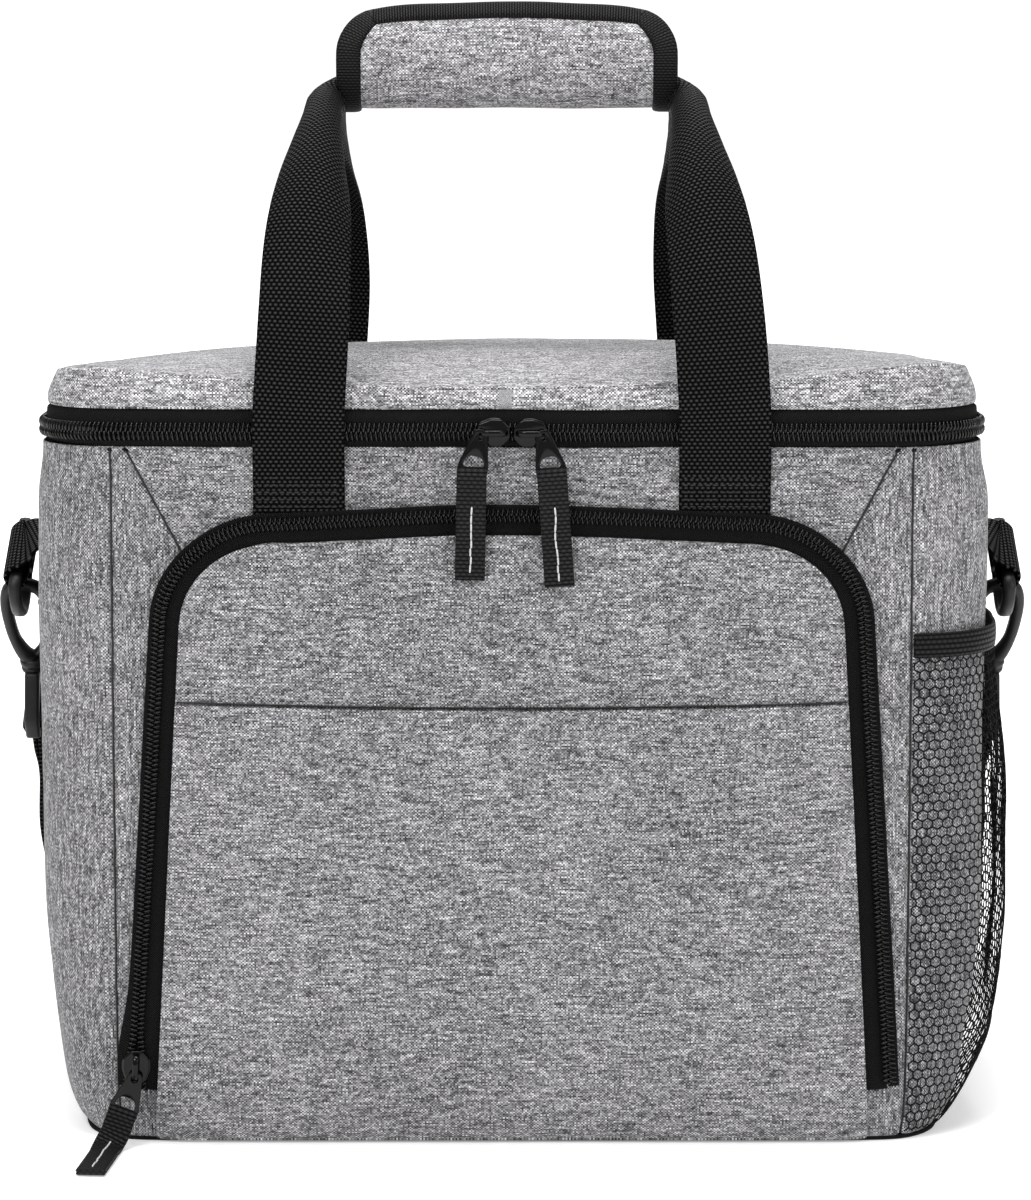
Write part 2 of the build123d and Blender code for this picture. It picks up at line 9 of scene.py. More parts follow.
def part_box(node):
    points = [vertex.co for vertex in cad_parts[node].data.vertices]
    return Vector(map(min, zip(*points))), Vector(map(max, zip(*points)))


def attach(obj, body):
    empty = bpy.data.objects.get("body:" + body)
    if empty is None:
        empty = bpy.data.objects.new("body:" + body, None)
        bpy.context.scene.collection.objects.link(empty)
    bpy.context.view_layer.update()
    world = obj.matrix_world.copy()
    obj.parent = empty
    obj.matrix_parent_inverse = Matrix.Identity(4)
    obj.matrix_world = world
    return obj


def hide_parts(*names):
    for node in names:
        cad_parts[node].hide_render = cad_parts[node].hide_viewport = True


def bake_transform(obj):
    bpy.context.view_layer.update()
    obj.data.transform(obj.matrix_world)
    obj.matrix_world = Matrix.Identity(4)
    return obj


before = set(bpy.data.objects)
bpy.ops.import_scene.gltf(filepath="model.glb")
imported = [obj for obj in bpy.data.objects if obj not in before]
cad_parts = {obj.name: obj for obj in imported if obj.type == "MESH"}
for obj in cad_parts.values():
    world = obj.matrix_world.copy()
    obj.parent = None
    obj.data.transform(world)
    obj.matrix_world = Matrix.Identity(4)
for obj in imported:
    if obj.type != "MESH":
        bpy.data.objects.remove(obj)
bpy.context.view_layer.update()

# Looks of an insulated cooler bag, built round the CAD frame. Own lengths are in millimetres and
# turn into metres where a mesh is made. -Y is the front, +X the side with the mesh pocket.
MM = 0.001


def box_mm(node):
    low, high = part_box(node)
    return np.array(low) / MM, np.array(high) / MM


# ---------------------------------------------------------------- sizes, from the frame
HALF_W = box_mm("right_gusset")[1][0]
HALF_D = box_mm("front_panel")[0][1] * -1
CORNER = 40.0  # radius of the shell's upright corners
FLAT_X = HALF_W - CORNER
FLAT_Y = HALF_D - CORNER
ARC = math.pi / 2 * CORNER
HALF_LOOP = 2 * FLAT_X + 2 * ARC + 2 * FLAT_Y  # front centre to back centre, round one side
SEAM_T = 166.5  # the gusset seams, as distances round the outline from the front centre
BACK_SEAM_T = HALF_LOOP - SEAM_T
CORNER_T = FLAT_X + ARC / 2

ZIP_Z = box_mm("lid_zip_upper_coil")[0][2] - 0.2
COIL_PROUD = box_mm("lid_zip_upper_coil")[1][0] - HALF_W
COIL_H = box_mm("lid_zip_upper_coil")[1][2] - ZIP_Z
LOWER_TAPE = box_mm("lid_zip_lower_tape")[0][2]
UPPER_TAPE = box_mm("lid_zip_upper_tape")[1][2]
ZIP_END_T = FLAT_X + ARC + 2 * FLAT_Y + CORNER * math.asin(
    (box_mm("lid_zip_upper_coil")[1][1] - FLAT_Y) / CORNER
)
LID_TOP = box_mm("lid_top_panel")[1][2]


def outline(t, grow=0.0):
    """The shell's outline from above: place and outward normal at a distance t round it from the
    front centre, positive towards +X."""
    side = 1.0 if t >= 0 else -1.0
    t = abs(t)
    if t <= FLAT_X:
        x, y, nx, ny = t, -HALF_D, 0.0, -1.0
    elif t <= FLAT_X + ARC:
        a = (t - FLAT_X) / CORNER
        nx, ny = math.sin(a), -math.cos(a)
        x, y = FLAT_X + CORNER * nx, -FLAT_Y + CORNER * ny
    elif t <= FLAT_X + ARC + 2 * FLAT_Y:
        x, y, nx, ny = HALF_W, -FLAT_Y + t - FLAT_X - ARC, 1.0, 0.0
    elif t <= FLAT_X + 2 * ARC + 2 * FLAT_Y:
        a = (t - FLAT_X - ARC - 2 * FLAT_Y) / CORNER
        nx, ny = math.cos(a), math.sin(a)
        x, y = FLAT_X + CORNER * nx, FLAT_Y + CORNER * ny
    else:
        x, y, nx, ny = HALF_LOOP - t, HALF_D, 0.0, 1.0
    return np.array([side * (x + nx * grow), y + ny * grow]), np.array([side * nx, ny])


def smooth(a, b, x):
    """0 below a, 1 above b, with an S-curve between them."""
    s = min(1.0, max(0.0, (x - a) / (b - a)))
    return s * s * (3 - 2 * s)


def bell(x, centre, width):
    return math.exp(-(((x - centre) / width) ** 2))


def ripple(x, y, z, size, seed=0.0):
    """Smooth, repeatable noise between about -1 and 1, with features of the given size."""
    return noise.noise(Vector((x / size + seed, y / size - seed, z / size + 0.37 * seed)))


def sag(t):
    """How far the zipper line strays from level."""
    return 0.5 * ripple(t, 0, 0, 60, 3.0) - 0.1


# ---------------------------------------------------------------- mesh helpers
def unit(v):
    return v / np.maximum(np.linalg.norm(v, axis=-1, keepdims=True), 1e-9)


def grid_faces(rows, cols, start=0, loop=False, flip=False):
    faces = []
    last = cols if loop else cols - 1
    for r in range(rows - 1):
        for c in range(last):
            d = (c + 1) % cols
            a = start + r * cols + c
            b = start + r * cols + d
            quad = (a, b, b + cols, a + cols)
            faces.append(quad[::-1] if flip else quad)
    return faces


def add_mesh(name, verts, faces, material, grain=None):
    """A closed mesh of points in millimetres, smooth shaded, with its faces turned outwards."""
    mesh = bpy.data.meshes.new(name)
    mesh.from_pydata([tuple(v) for v in np.asarray(verts) * MM], [], faces)
    mesh.materials.append(material)
    if grain is not None:
        attribute = mesh.attributes.new("grain", "FLOAT_VECTOR", "POINT")
        flat = np.zeros((len(verts), 3), np.float32)
        flat[:, :2] = np.asarray(grain)[:, :2]
        attribute.data.foreach_set("vector", flat.ravel())
    shape = bmesh.new()
    shape.from_mesh(mesh)
    bmesh.ops.recalc_face_normals(shape, faces=shape.faces)
    shape.to_mesh(mesh)
    shape.free()
    mesh.shade_smooth()
    mesh.update()
    piece = bpy.data.objects.new(name, mesh)
    bpy.context.scene.collection.objects.link(piece)
    return piece


def settle(piece, body, slot, *nodes):
    """Hangs a finished piece on its CAD body when a body's name is given, or else bakes its place into its points,
    and hides the CAD nodes it stands for.
    """
    if isinstance(body, str):
        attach(piece, body)
    else:
        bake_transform(piece)
    if nodes:
        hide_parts(*nodes)
    return piece


def grid_normals(points, loop=False):
    """Normals of a rows x columns sheet: across the columns, then up the rows."""
    if loop:
        across = np.roll(points, -1, axis=1) - np.roll(points, 1, axis=1)
    else:
        across = np.gradient(points, axis=1)
    up = np.gradient(points, axis=0)
    return unit(np.cross(across, up))


def sheet(name, points, grain, thick, material, loop=False, crease=0.35, outward=1):
    """A closed thin sheet over a grid of points, thickened inwards, with slightly rounded edges."""
    points = np.asarray(points, float)
    rows, cols = points.shape[:2]
    normals = grid_normals(points, loop) * outward
    inner = points - normals * thick
    middle = points - normals * thick / 2
    front = points.copy()
    back = inner.copy()
    edge = crease * min(thick, 1.0)

    def pull_in(array, row_step, here, there):
        array[here] += unit(array[there] - array[here]) * row_step

    for array in (front, back):
        pull_in(array, edge, np.s_[0, :], np.s_[1, :])
        pull_in(array, edge, np.s_[-1, :], np.s_[-2, :])
        if not loop:
            pull_in(array, edge, np.s_[:, 0], np.s_[:, 1])
            pull_in(array, edge, np.s_[:, -1], np.s_[:, -2])
    verts = [front.reshape(-1, 3), back.reshape(-1, 3)]
    n = rows * cols
    flip = outward < 0
    faces = grid_faces(rows, cols, 0, loop, flip) + grid_faces(rows, cols, n, loop, not flip)
    rims = [[r * cols + c for r, c in run] for run in _rim_runs(rows, cols, loop)]
    start = 2 * n
    for run in rims:
        verts.append(middle.reshape(-1, 3)[run])
        closed = loop or len(rims) == 1
        count = len(run)
        for i in range(count if closed else count - 1):
            j = (i + 1) % count
            a, b = run[i], run[j]
            m, k = start + i, start + j
            quads = [(b, a, m, k), (k, m, a + n, b + n)]
            faces += [q[::-1] for q in quads] if flip else quads
        start += count
    grain = np.asarray(grain, float).reshape(-1, 2)
    grains = [grain, grain] + [grain[run] for run in rims]
    return add_mesh(name, np.vstack(verts), faces, material, np.vstack(grains))


def _rim_runs(rows, cols, loop):
    """The borders of a grid, as lists of (row, column), each in one turning direction."""
    if loop:
        bottom = [(0, c) for c in range(cols)]
        top = [(rows - 1, c) for c in reversed(range(cols))]
        return [bottom, top]
    run = [(0, c) for c in range(cols - 1)]
    run += [(r, cols - 1) for r in range(rows - 1)]
    run += [(rows - 1, c) for c in range(cols - 1, 0, -1)]
    run += [(r, 0) for r in range(rows - 1, 0, -1)]
    return [run]


class Surface:
    """A grid of points over two rising scales, read smoothly at any place on it."""

    def __init__(self, us, vs, points):
        self.us = np.asarray(us, float)
        self.vs = np.asarray(vs, float)
        self.points = points
        self.normals = grid_normals(points)

    def at(self, u, v, out=0.0):
        i = int(np.clip(np.searchsorted(self.us, u) - 1, 0, len(self.us) - 2))
        j = int(np.clip(np.searchsorted(self.vs, v) - 1, 0, len(self.vs) - 2))
        a = (u - self.us[i]) / (self.us[i + 1] - self.us[i])
        b = (v - self.vs[j]) / (self.vs[j + 1] - self.vs[j])
        weights = (((1 - b) * (1 - a), j, i), ((1 - b) * a, j, i + 1),
                   (b * (1 - a), j + 1, i), (b * a, j + 1, i + 1))
        place = sum(w * self.points[r, c] for w, r, c in weights)
        normal = sum(w * self.normals[r, c] for w, r, c in weights)
        return place + unit(normal) * out


def simulate(name, verts, faces, pinned, pressure, cap, frames=18, stiffness=20.0, bending=0.5):
    """Blows a sheet up as cloth, holding the pinned points, and gives back its new points. No point
    moves further than cap."""
    mesh = bpy.data.meshes.new(name)
    mesh.from_pydata([tuple(v) for v in verts * MM], [], faces)
    piece = bpy.data.objects.new(name, mesh)
    bpy.context.scene.collection.objects.link(piece)
    group = piece.vertex_groups.new(name="pin")
    group.add([int(i) for i in pinned], 1.0, "REPLACE")
    cloth = piece.modifiers.new("Cloth", "CLOTH")
    settings = cloth.settings
    settings.vertex_group_mass = "pin"
    settings.use_pressure = True
    settings.uniform_pressure_force = pressure
    settings.effector_weights.gravity = 0.0
    settings.quality = 5
    settings.tension_stiffness = stiffness
    settings.compression_stiffness = stiffness
    settings.shear_stiffness = stiffness / 3
    settings.bending_stiffness = bending
    cloth.point_cache.frame_start = 1
    cloth.point_cache.frame_end = frames
    scene = bpy.context.scene
    for step in range(1, frames + 1):
        scene.frame_set(step)
    blown = piece.evaluated_get(bpy.context.evaluated_depsgraph_get()).data
    moved = np.empty(len(verts) * 3, np.float32)
    blown.vertices.foreach_get("co", moved)
    moved = moved.reshape(-1, 3) / MM
    bpy.data.objects.remove(piece)
    bpy.data.meshes.remove(mesh)
    scene.frame_set(1)
    shift = moved - verts
    far = np.linalg.norm(shift, axis=1, keepdims=True)
    return verts + shift * np.minimum(1.0, cap * np.tanh(far / cap) / np.maximum(far, 1e-6))


def soften(piece, levels=1):
    piece.modifiers.new("Subdivision", "SUBSURF").levels = levels
    piece.modifiers["Subdivision"].render_levels = levels
    return piece


def merged(parts):
    """One (points, faces, grain) from several."""
    points, faces, grains, start = [], [], [], 0
    for part in parts:
        points.append(np.asarray(part[0], float))
        faces += [tuple(i + start for i in face) for face in part[1]]
        grains.append(part[2] if len(part) > 2 else np.zeros((len(part[0]), 2)))
        start += len(part[0])
    return np.vstack(points), faces, np.vstack(grains)


def add_parts(name, parts, material):
    return add_mesh(name, *merged(parts)[:2], material, merged(parts)[2])


def tube(path, radius, sides=6, loop=False, side_way=None, flat=1.0, square=2.0):
    """A tube along a path. radius may vary along it; side_way fixes one direction of its section,
    in which the section is flat times as thick; square above 2 makes the section boxier."""
    path = np.asarray(path, float)
    count = len(path)
    if loop:
        along = unit(np.roll(path, -1, axis=0) - np.roll(path, 1, axis=0))
    else:
        along = unit(np.gradient(path, axis=0))
    radii = np.broadcast_to(np.asarray(radius, float), (count,))
    if side_way is None:
        way = np.cross(along[0], [0.0, 0.0, 1.0])
        if np.linalg.norm(way) < 0.1:
            way = np.cross(along[0], [0.0, 1.0, 0.0])
        ways = np.empty_like(path)
        for i in range(count):
            way = unit(way - along[i] * (way @ along[i]))
            ways[i] = way
    else:
        ways = np.broadcast_to(np.asarray(side_way, float), path.shape)
        ways = unit(ways - along * np.sum(ways * along, axis=1, keepdims=True))
    others = np.cross(along, ways)
    angle = 2 * math.pi * np.arange(sides) / sides
    c, s = np.cos(angle), np.sin(angle)
    c = np.sign(c) * np.abs(c) ** (2 / square) * flat
    s = np.sign(s) * np.abs(s) ** (2 / square)
    ring = ways[:, None] * c[None, :, None] + others[:, None] * s[None, :, None]
    points = path[:, None] + ring * radii[:, None, None]
    step = np.linalg.norm(np.diff(path, axis=0), axis=1)
    run = np.concatenate([[0.0], np.cumsum(step)])
    grain = np.dstack([
        np.tile(run[:, None], (1, sides)),
        np.tile(angle[None] * float(radii.max()), (count, 1)),
    ])
    faces = []
    for i in range(count if loop else count - 1):
        for k in range(sides):
            j, m = (i + 1) % count, (k + 1) % sides
            faces.append((i * sides + k, i * sides + m, j * sides + m, j * sides + k))
    if not loop:
        faces.append(tuple(range(sides))[::-1])
        faces.append(tuple(range((count - 1) * sides, count * sides)))
    return points.reshape(-1, 3), faces, grain.reshape(-1, 2)


def ribbon(centres, acrosses, half_w, thick, curl=0.0, columns=10, start=0.0):
    """A strip of webbing along a path of centres. curl bends it across its width, away from its
    face; half_w and curl may vary along it."""
    centres = np.asarray(centres, float)
    count = len(centres)
    along = unit(np.gradient(centres, axis=0))
    across = np.broadcast_to(np.asarray(acrosses, float), centres.shape)
    across = unit(across - along * np.sum(across * along, axis=1, keepdims=True))
    normal = np.cross(across, along)
    half_w = np.broadcast_to(np.asarray(half_w, float), (count,))
    curl = np.broadcast_to(np.asarray(curl, float), (count,))
    h = thick / 2
    inset = [0.3 * h, 0.9 * h, 2.6 * h]
    lift = [0.75 * h, h, h]
    face = [(1, -i, l) for i, l in zip(inset, lift)][::-1]
    profile = [(-1, i, l) for i, l in zip(inset, lift)]
    profile += [(2 * k / columns - 1, 0, h) for k in range(1, columns)]
    profile += face
    profile += [(1, 0, 0)]
    profile += [(a, d, -l) for a, d, l in face[::-1]]
    profile += [(1 - 2 * k / columns, 0, -h) for k in range(1, columns)]
    profile += [(-1, i, -l) for i, l in zip(inset, lift)][::-1]
    profile += [(-1, 0, 0)]
    step = np.linalg.norm(np.diff(centres, axis=0), axis=1)
    run = start + np.concatenate([[0.0], np.cumsum(step)])
    points = np.empty((count, len(profile), 3))
    grain = np.empty((count, len(profile), 2))
    for k, (share, shift, lift_k) in enumerate(profile):
        s = share * half_w + shift
        bend = np.where(np.abs(curl) < 1e-4, 1e-4, curl)
        turn = bend * s
        points[:, k] = (
            centres
            + across * (np.sin(turn) / bend)[:, None]
            - normal * ((1 - np.cos(turn)) / bend)[:, None]
            + lift_k * (normal * np.cos(turn)[:, None] + across * np.sin(turn)[:, None])
        )
        grain[:, k, 0] = run
        grain[:, k, 1] = s
    n = len(profile)
    faces = grid_faces(count, n, loop=True)
    half = n // 2
    for base in (0, (count - 1) * n):
        for k in range(half - 1):
            faces.append((base + k, base + k + 1, base + n - 3 - k, base + n - 2 - k))
        faces.append((base + n - 2, base + n - 1, base))
    return points.reshape(-1, 3), faces, grain.reshape(-1, 2)


def smooth_path(knots, step=4.0):
    """A smooth path through a few knots (Catmull-Rom)."""
    knots = np.asarray(knots, float)
    padded = np.vstack([2 * knots[0] - knots[1], knots, 2 * knots[-1] - knots[-2]])
    path = []
    for k in range(1, len(padded) - 2):
        p0, p1, p2, p3 = padded[k - 1 : k + 3]
        count = max(2, int(np.linalg.norm((p2 - p1)[:3]) / step))
        for t in np.arange(count) / count:
            path.append(0.5 * (2 * p1 + (p2 - p0) * t + (2 * p0 - 5 * p1 + 4 * p2 - p3) * t ** 2
                               + (3 * p1 - p0 - 3 * p2 + p3) * t ** 3))
    path.append(knots[-1])
    return np.array(path)


def stitches(path, length, gap, radius, out=None, wobble=0.0):
    """A row of short threads along a path: each dips in at its two ends."""
    path = np.asarray(path, float)
    run = np.concatenate([[0.0], np.cumsum(np.linalg.norm(np.diff(path, axis=0), axis=1))])
    parts, at, k = [], 0.0, 0
    while at + length <= run[-1]:
        spots = at + length * np.array([0.0, 0.12, 0.5, 0.88, 1.0])
        places = np.array([[np.interp(d, run, path[:, i]) for i in range(3)] for d in spots])
        if out is not None:
            lift = np.array([-0.9, 0.1, 0.45, 0.1, -0.9]) * radius
            places = places + np.asarray(out, float) * lift[:, None]
        if wobble:
            places[1:4] += np.array([ripple(k, i, 0, 0.7, 4.0) for i in range(3)]) * wobble
            places[:, 0] += wobble * ripple(k, 5, 1, 0.9, 2.0)
        parts.append(tube(places, radius * np.array([0.5, 0.9, 1.0, 0.9, 0.5]), 6))
        at += length + gap
        k += 1
    return merged(parts)


def plate(outer, holes, thick, bevel):
    """A flat moulded or stamped plate with rounded edges, in its own plane, centred on it."""
    curve = bpy.data.curves.new("plate", "CURVE")
    curve.dimensions = "2D"
    curve.fill_mode = "BOTH"
    curve.extrude = thick / 2 - bevel
    curve.bevel_depth = bevel
    curve.bevel_resolution = 2
    curve.offset = -bevel
    for loop in [outer, *holes]:
        spline = curve.splines.new("POLY")
        spline.points.add(len(loop) - 1)
        for point, (x, y) in zip(spline.points, loop):
            point.co = (x, y, 0, 1)
        spline.use_cyclic_u = True
    holder = bpy.data.objects.new("plate", curve)
    bpy.context.scene.collection.objects.link(holder)
    mesh = bpy.data.meshes.new_from_object(
        holder.evaluated_get(bpy.context.evaluated_depsgraph_get())
    )
    shape = bmesh.new()
    shape.from_mesh(mesh)
    bmesh.ops.remove_doubles(shape, verts=shape.verts, dist=1e-3)
    points = np.array([v.co for v in shape.verts])
    faces = [tuple(v.index for v in f.verts) for f in shape.faces]
    shape.free()
    bpy.data.objects.remove(holder)
    bpy.data.curves.remove(curve)
    bpy.data.meshes.remove(mesh)
    return points, faces


def rounded(corners, radius, steps=5):
    """A polygon with rounded corners; radius may be one number or one for each corner."""
    corners = np.asarray(corners, float)
    radii = np.broadcast_to(np.asarray(radius, float), (len(corners),))
    points = []
    for k, (corner, r) in enumerate(zip(corners, radii)):
        before = unit(corners[k - 1] - corner)
        after = unit(corners[(k + 1) % len(corners)] - corner)
        half = math.acos(float(np.clip(before @ after, -1, 1))) / 2
        cut = r / math.tan(half)
        start, end = corner + before * cut, corner + after * cut
        centre = corner + unit(before + after) * (r / math.sin(half))
        for t in np.arange(steps + 1) / steps:
            way = unit((start - centre) * (1 - t) + (end - centre) * t)
            points.append(tuple(centre + way * r))
    return points


def circle(x, y, r, steps=20):
    turn = [2 * math.pi * k / steps for k in range(steps)]
    return [(x + r * math.cos(a), y + r * math.sin(a)) for a in turn]


def placed(part, origin, x_way, y_way):
    """A part drawn in its own plane, set at an origin along two directions."""
    x_way, y_way = unit(np.asarray(x_way, float)), unit(np.asarray(y_way, float))
    basis = np.array([x_way, y_way, np.cross(x_way, y_way)])
    return (np.asarray(part[0]) @ basis + np.asarray(origin, float), *part[1:])


# ---------------------------------------------------------------- materials
class Nodes:
    """Short forms for building a node material."""

    def __init__(self, name):
        self.material = bpy.data.materials.new(name)
        self.material.use_nodes = True
        self.tree = self.material.node_tree
        self.bsdf = self.tree.nodes["Principled BSDF"]

    def node(self, kind, **settings):
        made = self.tree.nodes.new("ShaderNode" + kind)
        for key, value in settings.items():
            setattr(made, key, value)
        return made

    def link(self, source, target):
        if isinstance(source, (int, float)):
            target.default_value = source
        elif isinstance(source, tuple):
            target.default_value = source
        else:
            self.tree.links.new(source, target)

    def math(self, operation, a, b=0.0, c=0.0):
        made = self.node("Math", operation=operation)
        for value, socket in zip((a, b, c), made.inputs):
            self.link(value, socket)
        return made.outputs[0]

    def grain(self):
        """The fabric's own directions, in millimetres: along the grain, across it."""
        split = self.node("SeparateXYZ")
        self.link(self.node("Attribute", attribute_name="grain").outputs["Vector"], split.inputs[0])
        return split.outputs[0], split.outputs[1]

    def place(self):
        """Place on the object, in millimetres."""
        scale = self.node("VectorMath", operation="SCALE")
        self.link(self.node("TexCoord").outputs["Object"], scale.inputs[0])
        scale.inputs["Scale"].default_value = 1 / MM
        return scale.outputs[0]

    def vector(self, x, y=0.0, z=0.0):
        made = self.node("CombineXYZ")
        for value, socket in zip((x, y, z), made.inputs):
            self.link(value, socket)
        return made.outputs[0]

    def noise(self, vector, scale=1.0, detail=2.0, roughness=0.5):
        made = self.node("TexNoise")
        self.link(vector, made.inputs["Vector"])
        made.inputs["Scale"].default_value = scale
        made.inputs["Detail"].default_value = detail
        made.inputs["Roughness"].default_value = roughness
        return made.outputs["Fac"]

    def streaks(self, u, v, length, width, seed=0.0, detail=1.0):
        stretched = self.vector(
            self.math("DIVIDE", u, length), self.math("DIVIDE", v, width), seed
        )
        return self.noise(stretched, 1.0, detail)

    def ramp(self, value, stops):
        """Colours by value: stops is a list of (position, grey or colour)."""
        made = self.node("ValToRGB")
        self.link(value, made.inputs[0])
        elements = made.color_ramp.elements
        while len(elements) < len(stops):
            elements.new(0.5)
        for element, (position, colour) in zip(elements, stops):
            element.position = position
            rgb = colour if isinstance(colour, tuple) else (colour,) * 3
            element.color = (*rgb, 1.0)
        return made.outputs[0]

    def bump(self, height, depth, strength=1.0):
        """depth is the height in millimetres that a change of 1 stands for."""
        made = self.node("Bump")
        made.inputs["Strength"].default_value = strength
        made.inputs["Distance"].default_value = depth * MM
        self.link(height, made.inputs["Height"])
        self.link(made.outputs["Normal"], self.bsdf.inputs["Normal"])

    def finish(self, colour, roughness, sheen=0.0, specular=0.5):
        self.link(colour, self.bsdf.inputs["Base Color"])
        self.link(roughness, self.bsdf.inputs["Roughness"])
        self.link(specular, self.bsdf.inputs["Specular IOR Level"])
        if sheen:
            self.bsdf.inputs["Sheen Weight"].default_value = sheen
            self.bsdf.inputs["Sheen Roughness"].default_value = 0.5
        return self.material


def heather(name, tone=1.0):
    """Grey melange canvas in a plain weave: each thread's shade changes along it, and each crossing
    has its own."""
    n = Nodes(name)
    u, v = n.grain()
    column = n.math("FLOOR", n.math("DIVIDE", u, 0.715))
    row = n.math("FLOOR", n.math("DIVIDE", v, 0.65))
    weft_on_top = n.math("MODULO", n.math("ADD", n.math("ADD", row, column), 4000.0), 2.0)
    crossing = n.node("TexWhiteNoise", noise_dimensions="2D")
    n.link(n.vector(column, row), crossing.inputs["Vector"])

    def shade_along(along, thread, length, seed):
        spot = n.vector(n.math("DIVIDE", along, length), n.math("MULTIPLY", thread, 5.37), seed)
        return n.noise(spot, 1.0, 1.0)

    weft = shade_along(u, row, 8.0, 1.0)
    warp = shade_along(v, column, 3.0, 3.0)
    streak = n.math("ADD", n.math("MULTIPLY", weft, n.math("MULTIPLY_ADD", weft_on_top, 0.3, 0.55)),
                    n.math("MULTIPLY", warp, n.math("MULTIPLY_ADD", weft_on_top, -0.3, 0.45)))
    mix = n.math("MULTIPLY_ADD", streak, 0.9, -0.02)
    mix = n.math("MULTIPLY_ADD", crossing.outputs["Value"], 0.4, n.math("SUBTRACT", mix, 0.2))
    mix = n.math("MULTIPLY_ADD", weft_on_top, 0.26, n.math("SUBTRACT", mix, 0.13))
    mix = n.math("MULTIPLY_ADD", n.streaks(u, v, 18.0, 0.8, 17.0), 0.34, n.math("SUBTRACT", mix, 0.17))
    mix = n.math("MULTIPLY_ADD", n.noise(n.place(), 0.012, 1.0), 0.12, n.math("SUBTRACT", mix, 0.03))
    stops = [(0.15, 0.0154), (0.3, 0.0707), (0.5, 0.2176), (0.7, 0.456), (0.95, 0.893)]
    tint = (0.98, 0.966, 1.0)
    base = n.ramp(mix, [(p, tuple(min(1.0, g * tone) * c for c in tint)) for p, g in stops])
    bead_u = n.math("ABSOLUTE", n.math("SINE", n.math("MULTIPLY", u, math.pi / 0.715)))
    bead_v = n.math("ABSOLUTE", n.math("SINE", n.math("MULTIPLY", v, math.pi / 0.65)))
    height = n.math("MULTIPLY_ADD", n.math("MULTIPLY", bead_u, bead_v), 0.5, mix)
    n.bump(height, 0.22, 0.6)
    return n.finish(base, n.math("MULTIPLY_ADD", weft, 0.2, 0.7), sheen=0.08, specular=0.15)


def webbing(name, pick=2.3, row=1.7, tone=1.2, ribs=False):
    """Black webbing: bumps of yarn in a brick pattern, or ribs across. The tops of the yarns are painted lighter as
    a highlight, and the gaps between them painted dark as shade."""
    n = Nodes(name)
    u, v = n.grain()
    rows = n.math("DIVIDE", u, row)
    half = n.math("MULTIPLY", n.math("FLOOR", rows), 0.5)
    across = n.math("ADD", n.math("DIVIDE", v, pick), half)
    bead_u = n.math("ABSOLUTE", n.math("SINE", n.math("MULTIPLY", rows, math.pi)))
    bead_v = n.math("ABSOLUTE", n.math("SINE", n.math("MULTIPLY", across, math.pi)))
    if ribs:
        bead_u = n.math("MULTIPLY_ADD", bead_u, 0.6, 0.4)
        bead_v = n.math("MULTIPLY_ADD", bead_v, 0.3, 0.7)
    bead = n.math("MULTIPLY", bead_u, bead_v)
    fibres = n.streaks(u, v, 0.5, 0.22, 3.0, 1.0)
    wear = n.noise(n.place(), 0.06, 2.0)
    # lit: painted highlight on the yarn tops and painted shade in the gaps between them (from bead), with fibre
    # streaks and patches of wear mixed in.
    lit = n.math("MULTIPLY_ADD", fibres, 0.35, n.math("MULTIPLY", bead, 0.7))
    lit = n.math("MULTIPLY_ADD", wear, 0.1, lit)
    colour = n.ramp(lit, [(0.35, 0.0015 * tone), (0.6, 0.0055 * tone), (0.8, 0.014 * tone),
                          (0.98, 0.032 * tone)])
    n.bump(n.math("MULTIPLY_ADD", fibres, 0.2, bead), 0.55, 1.0)
    shine = n.math("MULTIPLY", n.math("MULTIPLY", bead, bead), 0.24)
    return n.finish(colour, n.math("MULTIPLY_ADD", fibres, 0.2, 0.45), specular=shine)


def zip_tape_cloth(name):
    """Black herringbone tape."""
    n = Nodes(name)
    u, v = n.grain()
    zigzag = n.math("PINGPONG", n.math("ADD", v, 400.0), 3.0)
    ribs = n.math("SINE", n.math("MULTIPLY", n.math("ADD", u, zigzag), 2 * math.pi / 1.0))
    fibres = n.streaks(u, v, 0.6, 0.3, 5.0, 1.0)
    lit = n.math("MULTIPLY_ADD", ribs, 0.25, fibres)
    colour = n.ramp(lit, [(0.3, 0.0005), (0.55, 0.004), (0.8, 0.022)])
    n.bump(ribs, 0.15, 0.8)
    return n.finish(colour, 0.8, specular=0.05)


def dark_plastic(name, base=0.004, rough=0.42, grain=0.25, specular=0.3):
    """Moulded black nylon with a faint spark-eroded grain and smears of wear."""
    n = Nodes(name)
    fine = n.noise(n.place(), 2.2, 2.0)
    broad = n.noise(n.place(), 0.15, 2.0)
    colour = n.ramp(broad, [(0.35, base), (0.7, base * 2)])
    n.bump(fine, 0.05, grain)
    return n.finish(colour, n.math("MULTIPLY_ADD", broad, 0.25, rough - 0.1), specular=specular)


def black_metal(name):
    """Glossy black lacquer on die-cast metal, with fine scratches."""
    n = Nodes(name)
    fine = n.noise(n.place(), 1.2, 3.0)
    colour = n.ramp(fine, [(0.4, 0.001), (0.75, 0.003)])
    n.bump(fine, 0.03, 0.25)
    return n.finish(colour, n.math("MULTIPLY_ADD", fine, 0.12, 0.06), specular=0.2)


def thread(name, shade):
    """Twisted sewing thread."""
    n = Nodes(name)
    twist = n.noise(n.place(), 3.0, 1.0)
    colour = n.ramp(twist, [(0.3, shade * 0.7), (0.7, shade)])
    n.bump(twist, 0.08, 0.6)
    return n.finish(colour, 0.7)


def liner_film(name):
    """Pale wipe-clean film with soft creases."""
    n = Nodes(name)
    creases = n.noise(n.place(), 0.05, 4.0, 0.6)
    fine = n.noise(n.place(), 0.8, 2.0)
    colour = n.ramp(creases, [(0.3, (0.4, 0.415, 0.44)), (0.7, (0.55, 0.565, 0.59))])
    n.bump(n.math("MULTIPLY_ADD", fine, 0.05, creases), 2.5, 0.7)
    return n.finish(colour, n.math("MULTIPLY_ADD", fine, 0.15, 0.25))


